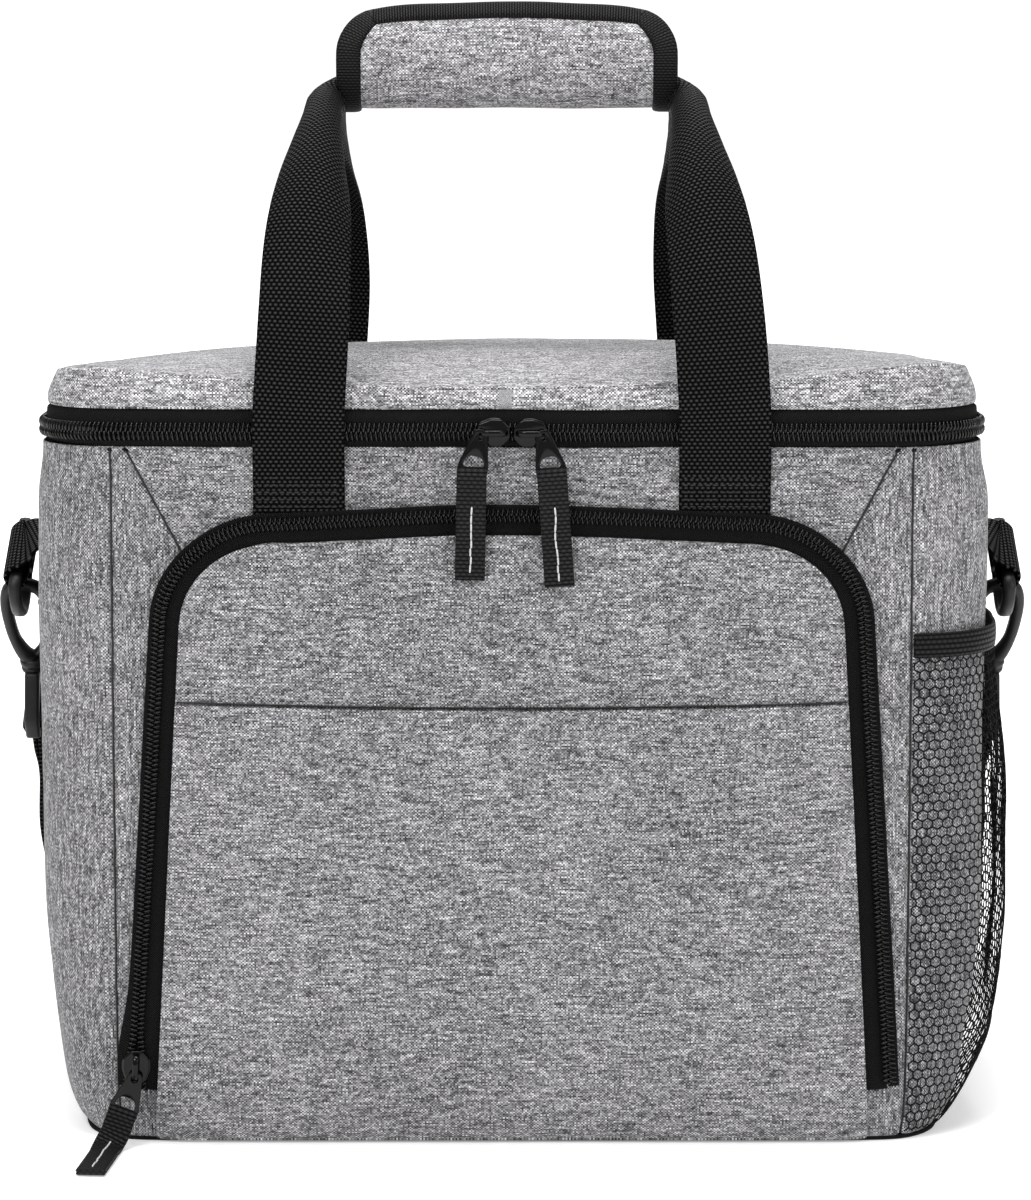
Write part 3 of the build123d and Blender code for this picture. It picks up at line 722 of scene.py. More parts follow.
def foam(name):
    """Closed-cell foam."""
    n = Nodes(name)
    cells = n.node("TexVoronoi")
    n.link(n.place(), cells.inputs["Vector"])
    cells.inputs["Scale"].default_value = 1.2
    height = cells.outputs["Distance"]
    colour = n.ramp(height, [(0.0, 0.6), (0.8, 0.85)])
    n.bump(height, 0.3, 0.6)
    return n.finish(colour, 0.85)


def black_cloth(name):
    """Plain black oxford cloth."""
    n = Nodes(name)
    split = n.node("SeparateXYZ")
    n.link(n.place(), split.inputs[0])
    warp = n.math("SINE", n.math("MULTIPLY", n.math("ADD", split.outputs[0], split.outputs[1]), 7.0))
    weft = n.math("SINE", n.math("MULTIPLY", n.math("SUBTRACT", split.outputs[2], split.outputs[1]), 7.0))
    weave = n.math("MULTIPLY", warp, weft)
    fibres = n.noise(n.place(), 1.5, 2.0)
    colour = n.ramp(n.math("MULTIPLY_ADD", weave, 0.15, fibres), [(0.3, 0.002), (0.7, 0.009)])
    n.bump(weave, 0.15, 0.7)
    return n.finish(colour, 0.85, specular=0.12)


HEATHER = heather("heather_canvas", 0.88)
# A second copy of the same canvas for the lid and the grip, painted lighter: painted light on their top-lit cloth,
# not another fabric.
HEATHER_PAINTED_LIGHTER = heather("heather_canvas_painted_lighter", 1.24)
WEBBING = webbing("black_webbing")
WEBBING_FINE = webbing("black_strap_webbing", pick=1.9, row=1.4)
NET_YARN = black_cloth("net_yarn")
ELASTIC = webbing("black_elastic", row=2.1, tone=0.3, ribs=True)
RIBBED = webbing("black_ribbed_tape", pick=2.6, row=1.65, tone=0.5, ribs=True)
BINDING = webbing("black_ribbed_binding", pick=1.9, row=1.15, tone=0.35, ribs=True)
TAPE = zip_tape_cloth("zipper_tape")
COIL = dark_plastic("zipper_coil_nylon", 0.0006, 0.14, 0.1, 0.32)
PLASTIC = dark_plastic("moulded_nylon")
METAL = black_metal("black_lacquered_metal")
WHITE_THREAD = thread("white_thread", 0.6)
BLACK_THREAD = thread("black_thread", 0.006)
LINER = liner_film("liner_film")
FOAM = foam("closed_cell_foam")
BLACK_CLOTH = black_cloth("black_oxford")


# ---------------------------------------------------------------- shell
POCKET_R = 46.0
POCKET_FOOT_X, POCKET_TOP_X = 158.0, 146.0
POCKET_TOP = box_mm("pocket_zip_outer_coil")[1][2] - 4.3
WEB_IN, WEB_OUT = 69.0, 107.0
WEB_T = 1.8
DIAGONAL = ((159.0, LOWER_TAPE), (137.0, LOWER_TAPE - 41.0))  # seam from the lid's zipper down


def pocket_arch(x, z):
    """How far the top of the pocket rises in the middle and falls towards its corners."""
    return (0.5 - 3.8 * smooth(10, 110, abs(x))) * float(np.clip((z - POCKET_TOP + 45) / 35, 0, 1))


def pocket_line(inset=0.0, foot=18.0, step=3.0):
    """Half of the pocket zipper's inverted U, from its foot on the right up to the middle: places
    (x, z), moved inwards by inset."""
    turn_z = POCKET_TOP - POCKET_R
    lean = math.atan2(POCKET_FOOT_X - POCKET_TOP_X, turn_z - foot)
    centre = np.array([POCKET_TOP_X - POCKET_R, turn_z])
    radius = POCKET_R - inset
    knots = []
    start = centre + radius * np.array([math.cos(lean), math.sin(lean)])
    low = start + np.array([math.tan(lean), -1.0]) * (start[1] - foot)
    count = int((start[1] - foot) / step)
    knots += [low + (start - low) * k / count for k in range(count)]
    count = max(6, int(radius * (math.pi / 2 - lean) / step))
    for k in range(count + 1):
        a = lean + (math.pi / 2 - lean) * k / count
        knots.append(centre + radius * np.array([math.cos(a), math.sin(a)]))
    count = int(centre[0] / step)
    for k in range(1, count + 1):
        x = centre[0] * (1 - k / count)
        knots.append(np.array([x, centre[1] + radius]))
    line = np.array(knots)
    line[:, 1] += [pocket_arch(x, z) for x, z in line]
    return line


def pocket_loop(inset=0.0, foot=18.0, step=3.0, other_foot=None):
    """The whole inverted U, from the left foot over the top to the right foot."""
    right = pocket_line(inset, foot, step)
    left = pocket_line(inset, foot if other_foot is None else other_foot, step)
    return np.vstack([left * [-1, 1], right[::-1][1:]])


SHELL_TOP = LOWER_TAPE + 2.8  # the fabric's folded edge over the zipper's lower tape


def rise(t):
    """The shell ends below the zipper; behind, where there is none, it reaches the hinge."""
    gap = ZIP_Z - 0.5 - SHELL_TOP
    return gap * smooth(ZIP_END_T - 4, ZIP_END_T + 12, abs(t))


def wall_offset(t, z):
    """How far the shell's fabric stands out from its CAD outline: drawn in above the base, flared a
    little at the top of the sides, softly uneven in between."""
    corner = max(bell(abs(t), CORNER_T, 34), bell(abs(t), HALF_LOOP - CORNER_T, 34))
    on_side = smooth(FLAT_X + 10, FLAT_X + ARC, abs(t)) * (
        1 - smooth(HALF_LOOP - FLAT_X - ARC, HALF_LOOP - FLAT_X - 10, abs(t))
    )
    foot = 6 * math.exp(-z / 5) + 9 * math.exp(-z / 20)
    foot *= 0.3 + 0.7 * on_side + 0.3 * corner
    flare = on_side * (3.8 * smooth(25, 95, z) + 1.2 * smooth(150, 265, z))
    flare *= 1 - 0.5 * smooth(LOWER_TAPE - 22, LOWER_TAPE, z)
    folds = 1.5 * ripple(t * 1.7, 0, z * 0.42, 42, 5.0) + 0.5 * ripple(t, 0, z, 17, 9.0)
    folds *= smooth(4, 40, z) * (1 - smooth(LOWER_TAPE - 24, LOWER_TAPE - 4, z))
    folds *= 0.35 + 0.65 * on_side
    near_seam = max(bell(abs(t), SEAM_T, 9), bell(abs(t), BACK_SEAM_T, 9))
    pucker = 0.3 * near_seam * math.sin(z * 0.9 + 3 * ripple(0, 0, z, 30, 2.0))
    return -foot + flare + folds + pucker + 0.5


def scale_with(breaks, step):
    """Rising values that include every break, about step apart."""
    values = [breaks[0]]
    for a, b in zip(breaks, breaks[1:]):
        count = max(1, round((b - a) / step))
        values += [a + (b - a) * (k + 1) / count for k in range(count)]
    return np.array(values)


def mirrored(values):
    return np.concatenate([-np.asarray(values)[::-1], np.asarray(values)[1:]])


def shell_wall():
    """The shell's four walls as one sheet over (distance round, height), blown up as cloth. It stays
    flat where webbing and the pocket are sewn on."""
    ts = mirrored(scale_with([0.0, SEAM_T, BACK_SEAM_T, HALF_LOOP], 5.5))
    zs = np.concatenate([[1.2, 2.4, 4, 6, 9, 12.5, 17], scale_with([22, SHELL_TOP], 5.5)])
    points = np.empty((len(zs), len(ts), 3))
    for j, z in enumerate(zs):
        for i, t in enumerate(ts):
            place, _ = outline(t, wall_offset(t, z))
            lift = sag(t) * smooth(200, 285, z) + rise(t) * smooth(LOWER_TAPE - 50, LOWER_TAPE, z)
            points[j, i] = (*place, z + lift)
    rows, cols = points.shape[:2]
    held = []
    for j, z in enumerate(zs):
        for i, t in enumerate(ts):
            on_seam = min(abs(abs(t) - s) for s in (SEAM_T, BACK_SEAM_T)) < 3
            in_front = abs(t) < DIAGONAL[1][0] + 8 or abs(t) > HALF_LOOP - WEB_OUT - 4
            if j < 4 or j >= rows - 2 or on_seam or in_front:
                held.append(j * cols + i)
    faces = grid_faces(rows, cols)
    blown = simulate("shell_wall", points.reshape(-1, 3), faces, held, 2.5, 3.5)
    return ts, zs, blown.reshape(points.shape)


SHELL = Surface(*shell_wall())


def tucked(distance):
    """How deep the fabric turns in at a seam, by the distance from its edge."""
    return -1.7 * math.exp(-((distance / 1.5) ** 2))


def spread(low, high, step):
    """Places across a panel, closer together at its two edges."""
    edge = [0.0, 0.7, 1.6, 3.0]
    middle = scale_with([low + 5, high - 5], step)
    return np.concatenate([[low + e for e in edge], middle, [high - e for e in edge[::-1]]])


def panel(name, left, right, low, high, upright, nodes=(), step=5.0):
    """A sewn panel cut out of the shell's surface: left and right are its edges by height. It runs
    a little past them, into the seams."""
    lap = 0.5
    zs = np.concatenate([[low, low + 2, low + 5], scale_with([low + 9, high - 6], step),
                         [high - 4, high - 2, high - 0.8, high]])
    width = max(right(z) - left(z) for z in zs) + 2 * lap
    shares = spread(0.0, width, step) / width
    points = np.empty((len(zs), len(shares), 3))
    grain = np.empty((len(zs), len(shares), 2))
    for j, z in enumerate(zs):
        a, b = left(z) - lap, right(z) + lap
        for i, share in enumerate(shares):
            t = a + (b - a) * share
            points[j, i] = SHELL.at(t, z, tucked(t - a) + tucked(b - t))
            grain[j, i] = (z, t) if upright else (t, z)
    piece = soften(sheet(name, points, grain, 1.0, HEATHER))
    return settle(piece, "bag", "heather_fabric", *nodes)


def diagonal_t(z):
    (x1, z1), (x2, z2) = DIAGONAL
    return x1 + (x2 - x1) * (z1 - z) / (z1 - z2)


def shell():
    top = SHELL_TOP
    foot_z = 1.2
    low_yoke = POCKET_TOP - 60

    def inner(z):
        return max(diagonal_t(max(z, low_yoke)), 118.0)

    panel("front_yoke_cloth", lambda z: -inner(z), inner, low_yoke, top, False, nodes=["front_panel"],
          step=6)
    for side, word in ((-1, "left"), (1, "right")):
        if side > 0:
            panel(f"front_{word}_corner_cloth", inner, lambda z: SEAM_T, foot_z, top, True, step=6)
        else:
            panel(f"front_{word}_corner_cloth", lambda z: -SEAM_T, lambda z: -inner(z), foot_z, top,
                  True, step=6)
    panel("front_lower_cloth", lambda z: -118.0, lambda z: 118.0, foot_z, low_yoke, False, step=8)
    panel("right_gusset_cloth", lambda z: SEAM_T, lambda z: BACK_SEAM_T, foot_z, top, True,
          nodes=["right_gusset"])
    panel("left_gusset_cloth", lambda z: -BACK_SEAM_T, lambda z: -SEAM_T, foot_z, top, True,
          nodes=["left_gusset"])
    back_panel()
    seam_shadow_cords(top)


def seam_shadow_cords(top):
    """A dark cord sunk in every seam of the shell: painted shadow for the seam's gap, drawn as black thread."""
    runs = [[(side * t, z) for z in scale_with([2.0, top - 1], 4)]
            for side in (-1, 1) for t in (SEAM_T, BACK_SEAM_T)]
    low = POCKET_TOP - 50
    runs += [[(side * diagonal_t(z), z) for z in scale_with([low, top - 1], 4)] for side in (-1, 1)]
    cords = [tube([SHELL.at(t, z, -1.0) for t, z in run], 0.42, 6) for run in runs]
    settle(add_parts("seam_shadow_thread", cords, BLACK_THREAD), "bag", "black_fabric")


def back_panel():
    """The back, from the right gusset's seam round to the left one's."""
    half = HALF_LOOP - BACK_SEAM_T + 0.5
    zs = np.concatenate([[1.2, 3, 6], scale_with([10, SHELL_TOP - 8], 6.0), [SHELL_TOP - 2, SHELL_TOP]])
    ss = spread(-half, half, 6.0)
    points = np.empty((len(zs), len(ss), 3))
    grain = np.empty((len(zs), len(ss), 2))
    for j, z in enumerate(zs):
        for i, s in enumerate(ss):
            t = HALF_LOOP + s if s < 0 else s - HALF_LOOP
            points[j, i] = SHELL.at(t, z, tucked(s + half) + tucked(half - s))
            grain[j, i] = (s, z)
    piece = soften(sheet("back_panel_cloth", points, grain, 1.0, HEATHER))
    settle(piece, "bag", "heather_fabric", "back_panel")


def loop_ts(step=5.0):
    """Distances once round the outline, anticlockwise from above, starting at the back."""
    half = scale_with([0.0, FLAT_X, FLAT_X + ARC, HALF_LOOP - FLAT_X - ARC, HALF_LOOP - FLAT_X,
                       HALF_LOOP], step)
    return mirrored(half)[:-1]


def inner_ring(z, depth):
    """The shell's outline at a height, moved inwards by depth."""
    return np.array([SHELL.at(t, z, -depth) for t in loop_ts()])


def bowl(name, levels, floor_z, thick, material, depth):
    """An open tub inside the shell: walls from levels[0] down to levels[-1], then a floor."""
    rows = [inner_ring(z, depth) for z in levels]
    last = rows[-1]
    centre = np.array([0.0, 0.0, floor_z])
    for share in (0.97, 0.93, 0.85, 0.7, 0.5, 0.3, 0.12):
        ring = centre + (last - centre) * share
        ring[:, 2] = floor_z + 0.5 * np.array([ripple(x, y, 0, 45, 6.0) for x, y, _ in ring]) * share
        rows.append(ring)
    points = np.array(rows)[::-1]
    grain = points[..., :2]
    piece = sheet(name, points, grain, thick, material, loop=True, outward=1)
    return piece


def closed_slab(name, z_low, z_high, depth, material):
    """A flat pad that fills the shell between two heights, with rounded edges."""
    low = inner_ring(z_low, depth)
    high = inner_ring(z_high, depth)
    rows = []
    for share in (0.02, 0.3, 0.6, 0.9, 0.98):
        rows.append(np.column_stack([(low * share)[:, :2], np.full(len(low), z_low)]))
    rows.append(np.column_stack([low[:, :2], np.full(len(low), z_low + 0.4)]))
    rows.append(np.column_stack([high[:, :2], np.full(len(low), z_high - 0.4)]))
    for share in (0.98, 0.9, 0.6, 0.3, 0.02):
        rows.append(np.column_stack([(high * share)[:, :2], np.full(len(low), z_high)]))
    points = np.array(rows)
    count = len(low)
    faces = grid_faces(len(rows), count, loop=True)
    faces.append(tuple(range(count))[::-1])
    faces.append(tuple(range((len(rows) - 1) * count, len(rows) * count)))
    flat = points.reshape(-1, 3)
    return add_mesh(name, flat, faces, material, flat[:, :2])


def inside():
    """Foam behind the fabric, the stiffening board and the liner tub."""
    floor_foam = box_mm("base_foam")
    settle(closed_slab("base_board_plate", 2.0, 4.0, 3.0, PLASTIC), "bag", "black_plastic", "base_board")
    settle(closed_slab("base_foam_pad", floor_foam[0][2], floor_foam[1][2], 3.0, FOAM), "bag", "foam",
           "base_foam")
    walls = {
        "front_foam": (-FLAT_X, FLAT_X, 0),
        "right_foam": (FLAT_X + ARC - 8, FLAT_X + ARC + 2 * FLAT_Y + 8, 0),
        "left_foam": (-FLAT_X - ARC - 2 * FLAT_Y - 8, -FLAT_X - ARC + 8, 0),
        "back_foam": (-FLAT_X, FLAT_X, HALF_LOOP),
    }
    top = LOWER_TAPE
    for node, (low, high, shift) in walls.items():
        zs = scale_with([floor_foam[1][2] + 1, top], 12)
        ss = scale_with([low, high], 10)
        points = np.empty((len(zs), len(ss), 3))
        for j, z in enumerate(zs):
            for i, s in enumerate(ss):
                t = s if not shift else (HALF_LOOP + s if s < 0 else s - HALF_LOOP)
                points[j, i] = SHELL.at(t, z, -1.6)
        grain = np.dstack(np.meshgrid(ss, zs))
        settle(sheet(f"{node}_pad", points, grain, 4.6, FOAM), "bag", "foam", node)
    levels = [top + 0.6, top - 6, top - 20, 240, 200, 160, 120, 80, 45, 25, 16, 12.5]
    piece = bowl("liner_tub_film", levels, 11.2, 0.6, LINER, 7.0)
    settle(piece, "bag", "liner_film", "liner_tub")
    rim = np.array([SHELL.at(t, top + 1.2, -4.0) for t in loop_ts()])
    across = np.array([np.append(outline(t)[1], 0) for t in loop_ts()])
    ring = tube(rim, 3.6, 10, loop=True, side_way=(0, 0, 1), flat=0.45)
    settle(add_parts("mouth_binding", [ring], BLACK_CLOTH), "bag", "black_fabric")


def base():
    """Black cloth under the bag and the piping in the seam round it."""
    settle(closed_slab("base_cloth", 0.2, 1.9, 1.2, BLACK_CLOTH), "bag", "black_fabric", "base_panel")
    line = np.array([SHELL.at(t, 3.0, -1.3) for t in loop_ts(4.0)])
    line[:, 2] = 1.0
    piping = tube(line, 0.95, 8, loop=True, side_way=(0, 0, 1))
    settle(add_parts("base_piping_cord", [piping], BLACK_CLOTH), "bag", "black_fabric", "base_piping")


shell()
inside()
base()


# ---------------------------------------------------------------- lid
LID_INSET, LID_CORNER = 4.5, 27.0
BAND_LOW = UPPER_TAPE - 1.9  # the band's folded edge over the zipper's upper tape


def lid_height(x, y):
    """Level of the lid's top before it is blown up: pinched up at the front corners, crowned in the
    middle, lower behind."""
    u = x / (HALF_W - LID_INSET)
    v = y / (HALF_D - LID_INSET)
    front = 17.2 + 11.5 * u * u - 2.0 * smooth(0.9, 1.0, abs(u)) + 1.4 * smooth(0.6, 1.0, u)
    back = 19.0 - 5.0 * u * u + 1.5 * u
    share = ((1 - v) / 2) ** 1.5
    crown = 8.0 * (1 - u ** 4) * (1 - v ** 4)
    lumps = 1.3 * ripple(x * 0.6, y * 1.4, 0, 60, 4.0) + 0.35 * ripple(x, y, 0, 22, 6.0)
    return ZIP_Z + front * share + back * (1 - share) + crown + lumps


def rounded_rows(half_w, half_d, radius, step, arc_steps=7):
    """Rows of a rounded rectangle from front to back: each row's y and half width."""
    arc = [radius * math.sin(math.pi / 2 * k / arc_steps) for k in range(arc_steps + 1)]
    flat = scale_with([-(half_d - radius), half_d - radius], step)
    front = [(-(half_d - radius) - a, half_w - radius + math.sqrt(radius ** 2 - a ** 2))
             for a in arc[::-1]]
    back = [(-y, w) for y, w in front[::-1]]
    return front[:-1] + [(y, half_w) for y in flat] + back[1:]


def loop_t(x, y):
    """Distance round the outline of the point on it that lies nearest to (x, y)."""
    ax, ay = abs(x), y
    if ay <= -FLAT_Y and ax <= FLAT_X:
        t = ax
    elif ay <= -FLAT_Y:
        t = FLAT_X + CORNER * math.atan2(ax - FLAT_X, -(ay + FLAT_Y))
    elif ay <= FLAT_Y:
        t = FLAT_X + ARC + ay + FLAT_Y
    elif ax > FLAT_X:
        t = FLAT_X + ARC + 2 * FLAT_Y + CORNER * math.atan2(ay - FLAT_Y, ax - FLAT_X)
    else:
        t = HALF_LOOP - ax
    return math.copysign(t, x)


def lid():
    """The lid's padded top and its band, blown up as one cloth."""
    rows = rounded_rows(HALF_W - LID_INSET, HALF_D - LID_INSET, LID_CORNER, 6.0)
    shares = mirrored(scale_with([0.0, 1.0], 1 / 30))
    top = np.array([[(a * w, y, lid_height(a * w, y)) for a in shares] for y, w in rows])
    count_r, count_c = top.shape[:2]
    border = _rim_runs(count_r, count_c, False)[0]
    ts = [loop_t(*top[r, c, :2]) for r, c in border]
    levels = 5
    band = np.empty((levels, len(border), 3))
    for k in range(levels):
        share = k / levels
        for i, t in enumerate(ts):
            low = BAND_LOW - (BAND_LOW - 0.6 - ZIP_Z) * smooth(ZIP_END_T - 4, ZIP_END_T + 12, abs(t))
            low += sag(t)
            bulge = 1.8 * math.sin(math.pi * share) + 0.4 * ripple(t, 0, share * 9, 34, 8.0)
            place, _ = outline(t, 0.6 + bulge * smooth(0, 0.2, share))
            r, c = border[i]
            lean_in = share ** 1.3
            place = place * (1 - lean_in) + top[r, c, :2] * lean_in
            band[k, i] = (*place, low + (top[r, c, 2] - low) * share)
    flat = np.vstack([top.reshape(-1, 3), band.reshape(-1, 3)])
    faces = grid_faces(count_r, count_c)
    start = count_r * count_c
    count_b = len(border)
    faces += grid_faces(levels, count_b, start, loop=True)
    joined = start + (levels - 1) * count_b
    for i in range(count_b):
        j = (i + 1) % count_b
        (r, c), (r2, c2) = border[i], border[j]
        faces.append((joined + i, joined + j, r2 * count_c + c2, r * count_c + c))
    held = list(range(start, start + count_b)) + [r * count_c + c for r, c in border]
    blown = simulate("lid_cloth", flat, faces, held, 1.6, 3.0)
    top = blown[:start].reshape(top.shape)
    band = blown[start:].reshape(band.shape)
    rim = np.array([top[r, c] for r, c in border])
    for r, c in border:
        top[r, c, 2] -= 1.0
    band = np.concatenate([band, (rim * 0.97 + band[-1] * 0.03)[None] - [0, 0, 0.5]])

    grain = np.dstack([top[..., 0], top[..., 1]])
    # The lid's top and band take the canvas copy painted lighter for the light from above.
    piece = soften(sheet("lid_top_cloth", top, grain, 1.5, HEATHER_PAINTED_LIGHTER))
    settle(piece, "lid", "heather_fabric", "lid_top_panel")
    run = np.array([t % (2 * HALF_LOOP) for t in ts])
    grain = np.dstack([np.tile(run, (levels + 1, 1)), band[..., 2]])
    piece = soften(sheet("lid_band_cloth", band, grain, 1.0, HEATHER_PAINTED_LIGHTER, loop=True))
    settle(piece, "lid", "heather_fabric", "lid_band")
    lid_inside(top)
    return np.array(ts), band


def lid_inside(top):
    """Foam pad and liner film inside the lid."""
    count_r, count_c = top.shape[:2]
    shrink = np.array([0.985, 0.975, 1.0])
    upper = top * shrink - [0, 0, 3.0]
    lower = upper.copy()
    bottom_z = ZIP_Z + 9.0
    lower[..., 2] = np.minimum(bottom_z, upper[..., 2] - 2)
    border = _rim_runs(count_r, count_c, False)[0]
    n = count_r * count_c
    faces = grid_faces(count_r, count_c) + grid_faces(count_r, count_c, n, flip=True)
    for i, (r, c) in enumerate(border):
        r2, c2 = border[(i + 1) % len(border)]
        a, b = r * count_c + c, r2 * count_c + c2
        faces.append((a, b, b + n, a + n))
    points = np.vstack([upper.reshape(-1, 3), lower.reshape(-1, 3)])
    settle(add_mesh("lid_foam_pad", points, faces, FOAM, points[:, :2]), "lid", "foam", "lid_foam")
    film = lower.copy()
    for j in range(count_r):
        for i in range(count_c):
            x, y, _ = film[j, i]
            rim = min(1.0, (1 - max(abs(x) / HALF_W, abs(y) / HALF_D)) * 5)
            film[j, i, 2] = ZIP_Z + 7.5 - 4.5 * smooth(0.05, 1, rim) - 0.8 * ripple(x, y, 0, 34, 3.0)
    piece = soften(sheet("lid_liner_film", film, film[..., :2], 0.6, LINER, outward=-1))
    settle(piece, "lid", "liner_film", "lid_liner")


lid_ts, lid_band = lid()


# ---------------------------------------------------------------- zippers
PITCH = 2.0


def coil(line, out_ways, across_ways, half_w, depth, phase=0.0, wire=0.55):
    """Half of a nylon zipper coil: a spring of flat oval turns along a line. out_ways point away
    from the tape, across_ways towards the other half."""
    run = np.concatenate([[0.0], np.cumsum(np.linalg.norm(np.diff(line, axis=0), axis=1))])
    per_turn = 10
    count = int(run[-1] / PITCH * per_turn)
    s = np.linspace(0, run[-1], count)

    def read(values):
        return np.column_stack([np.interp(s, run, values[:, i]) for i in range(3)])

    angle = 2 * math.pi * (s / PITCH + phase)
    path = (
        read(line)
        + read(across_ways) * (half_w * np.cos(angle))[:, None]
        + read(out_ways) * (depth * np.sin(angle))[:, None]
    )
    return tube(path, wire * (1 + 0.18 * np.cos(angle)), 5)


def lid_line(out, z, step=2.0, end=None):
    """A line round the front and sides at a height near the lid's zipper, with its outward ways."""
    end = ZIP_END_T if end is None else end
    ts = mirrored(scale_with([0.0, end], step))
    line = np.array([(*outline(t, out)[0], z + sag(t)) for t in ts])
    ways = np.array([(*outline(t)[1], 0.0) for t in ts])
    return ts, line, ways


def lid_zipper():
    up = np.array([0.0, 0.0, 1.0])
    for word, side, body in (("lower", -1, "bag"), ("upper", 1, "lid")):
        ts, line, ways = lid_line(2.7, ZIP_Z + side * 1.75)
        turns = coil(line, ways, np.tile(-side * up, (len(ts), 1)), 1.95, 1.35, phase=0.25 * (1 + side),
                     wire=0.5)
        piece = add_parts(f"lid_zip_{word}_teeth", [turns], COIL)
        settle(piece, body, "zip_coil", f"lid_zip_{word}_coil")
        cover = ZIP_Z - SHELL_TOP if side < 0 else BAND_LOW - ZIP_Z
        profile = [(-1.4, cover + 3), (-1.2, cover + 0.6), (-0.1, cover - 0.4), (0.9, cover - 1.4), (1.35, 3.0),
                   (1.35, 0.15)]
        rows = [lid_line(out, ZIP_Z + side * away, 4.0, ZIP_END_T + 3)[1] for out, away in profile]
        points = np.array(rows)
        if side > 0:
            points = points[::-1]
        ts = lid_line(1, 0, 4.0, ZIP_END_T + 3)[0]
        heights = points[:, len(ts) // 2, 2]
        grain = np.dstack(np.meshgrid(ts, heights))
        piece = sheet(f"lid_zip_{word}_cloth", points, grain, 0.7, TAPE)
        settle(piece, body, "zip_tape", f"lid_zip_{word}_tape")


def hinge_strip():
    """Black tape over the joint behind, where the lid hinges."""
    start = ZIP_END_T - 6
    half = HALF_LOOP - start
    ss = scale_with([-half, half], 5.0)
    low = LOWER_TAPE - 4
    zs = scale_with([low, ZIP_Z, ZIP_Z + 12], 2.5)
    points = np.empty((len(zs), len(ss), 3))
    for j, z in enumerate(zs):
        for i, s in enumerate(ss):
            t = HALF_LOOP + s if s < 0 else s - HALF_LOOP
            place, _ = outline(t, 1.9 + 0.3 * ripple(s, 0, z, 14, 5.0) + 0.8 * bell(z, ZIP_Z, 4))
            points[j, i] = (*place, z)
    grain = np.dstack(np.meshgrid(ss, zs))
    piece = sheet("lid_hinge_tape", points, grain, 0.8, TAPE)
    ends = ((0, HALF_D * MM, (ZIP_Z - 3) * MM), (0, HALF_D * MM, (ZIP_Z + 3) * MM))
    settle(piece, ("bag", "lid", *ends), "black_fabric", "lid_hinge_strip")


lid_zipper()
hinge_strip()


def on_front(x, z, out=0.0):
    """A place on the front of the shell, out millimetres off its fabric."""
    return SHELL.at(x, z, out)


def pocket_ways(line):
    """For a line of (x, z) on the front: unit ways along it and towards the inside of the U."""
    along = unit(np.gradient(line, axis=0))
    return along, np.column_stack([along[:, 1], -along[:, 0]])


def pocket_strip(name, body, slot, node, inner, outer, lift, foot, material, thick=0.7, flare=0.0):
    """A strip of tape along the pocket's zipper between two distances from its middle line. flare
    widens its outer side above the left foot, where the slider rests."""
    line = pocket_loop(0.0, foot, 4.0)
    wider = flare * np.exp(-(((line[:, 1] - 36) / 22) ** 2)) * (line[:, 0] < 0)
    _, inward = pocket_ways(line)
    rows = []
    shares = np.linspace(outer, inner, 5)
    for d in shares:
        bend = lift + 0.25 * math.cos((d - (inner + outer) / 2) * 0.5)
        part = (d - inner) / (outer - inner)
        rows.append([on_front(*(p + w * (d - e * part)), bend) for p, w, e in zip(line, inward, wider)])
    points = np.array(rows)[::-1]
    run = np.concatenate([[0.0], np.cumsum(np.linalg.norm(np.diff(line, axis=0), axis=1))])
    grain = np.dstack(np.meshgrid(run, shares[::-1]))
    piece = sheet(name, points, grain, thick, material)
    return settle(piece, body, slot, node)


POCKET_LIFT = WEB_T + 0.9  # the zipper lies over the handles' webbing
POCKET_ENDS = ((0, -HALF_D * MM, 6 * MM), (0, -HALF_D * MM, 24 * MM))


def pocket_zipper():
    pocket_strip("pocket_zip_outer_cloth", "bag", "zip_tape", "pocket_zip_outer_tape", 0.1, -4.6,
                 POCKET_LIFT, 25.0, TAPE, flare=3.4)
    pocket_strip("pocket_zip_inner_cloth", ("bag", "pocket", *POCKET_ENDS), "zip_tape",
                 "pocket_zip_inner_tape", 12.5, 0.3, POCKET_LIFT, 24.0, TAPE)
    for word, side, body in (("outer", -1, "bag"), ("inner", 1, ("bag", "pocket", *POCKET_ENDS))):
        line = pocket_loop(0.0, 27.0, 1.5, other_foot=24.0)
        foot_gap = 2.6 * (1 - np.clip((line[:, 1] - 22) / 26, 0, 1)) * (line[:, 0] < 0)
        _, inward = pocket_ways(line)
        middle = line + inward * (side * (1.3 + foot_gap))[:, None]
        spots = np.array([on_front(*p, POCKET_LIFT + 1.9) for p in middle])
        ways = np.array([on_front(*p, POCKET_LIFT + 2.9) for p in middle]) - spots
        to_other = np.column_stack([-side * inward[:, 0], np.zeros(len(line)), -side * inward[:, 1]])
        turns = coil(spots, ways, to_other, 1.45, 1.1, phase=0.25 * (1 + side), wire=0.42)
        piece = add_parts(f"pocket_zip_{word}_teeth", [turns], COIL)
        settle(piece, body, "zip_coil", f"pocket_zip_{word}_coil")


pocket_zipper()


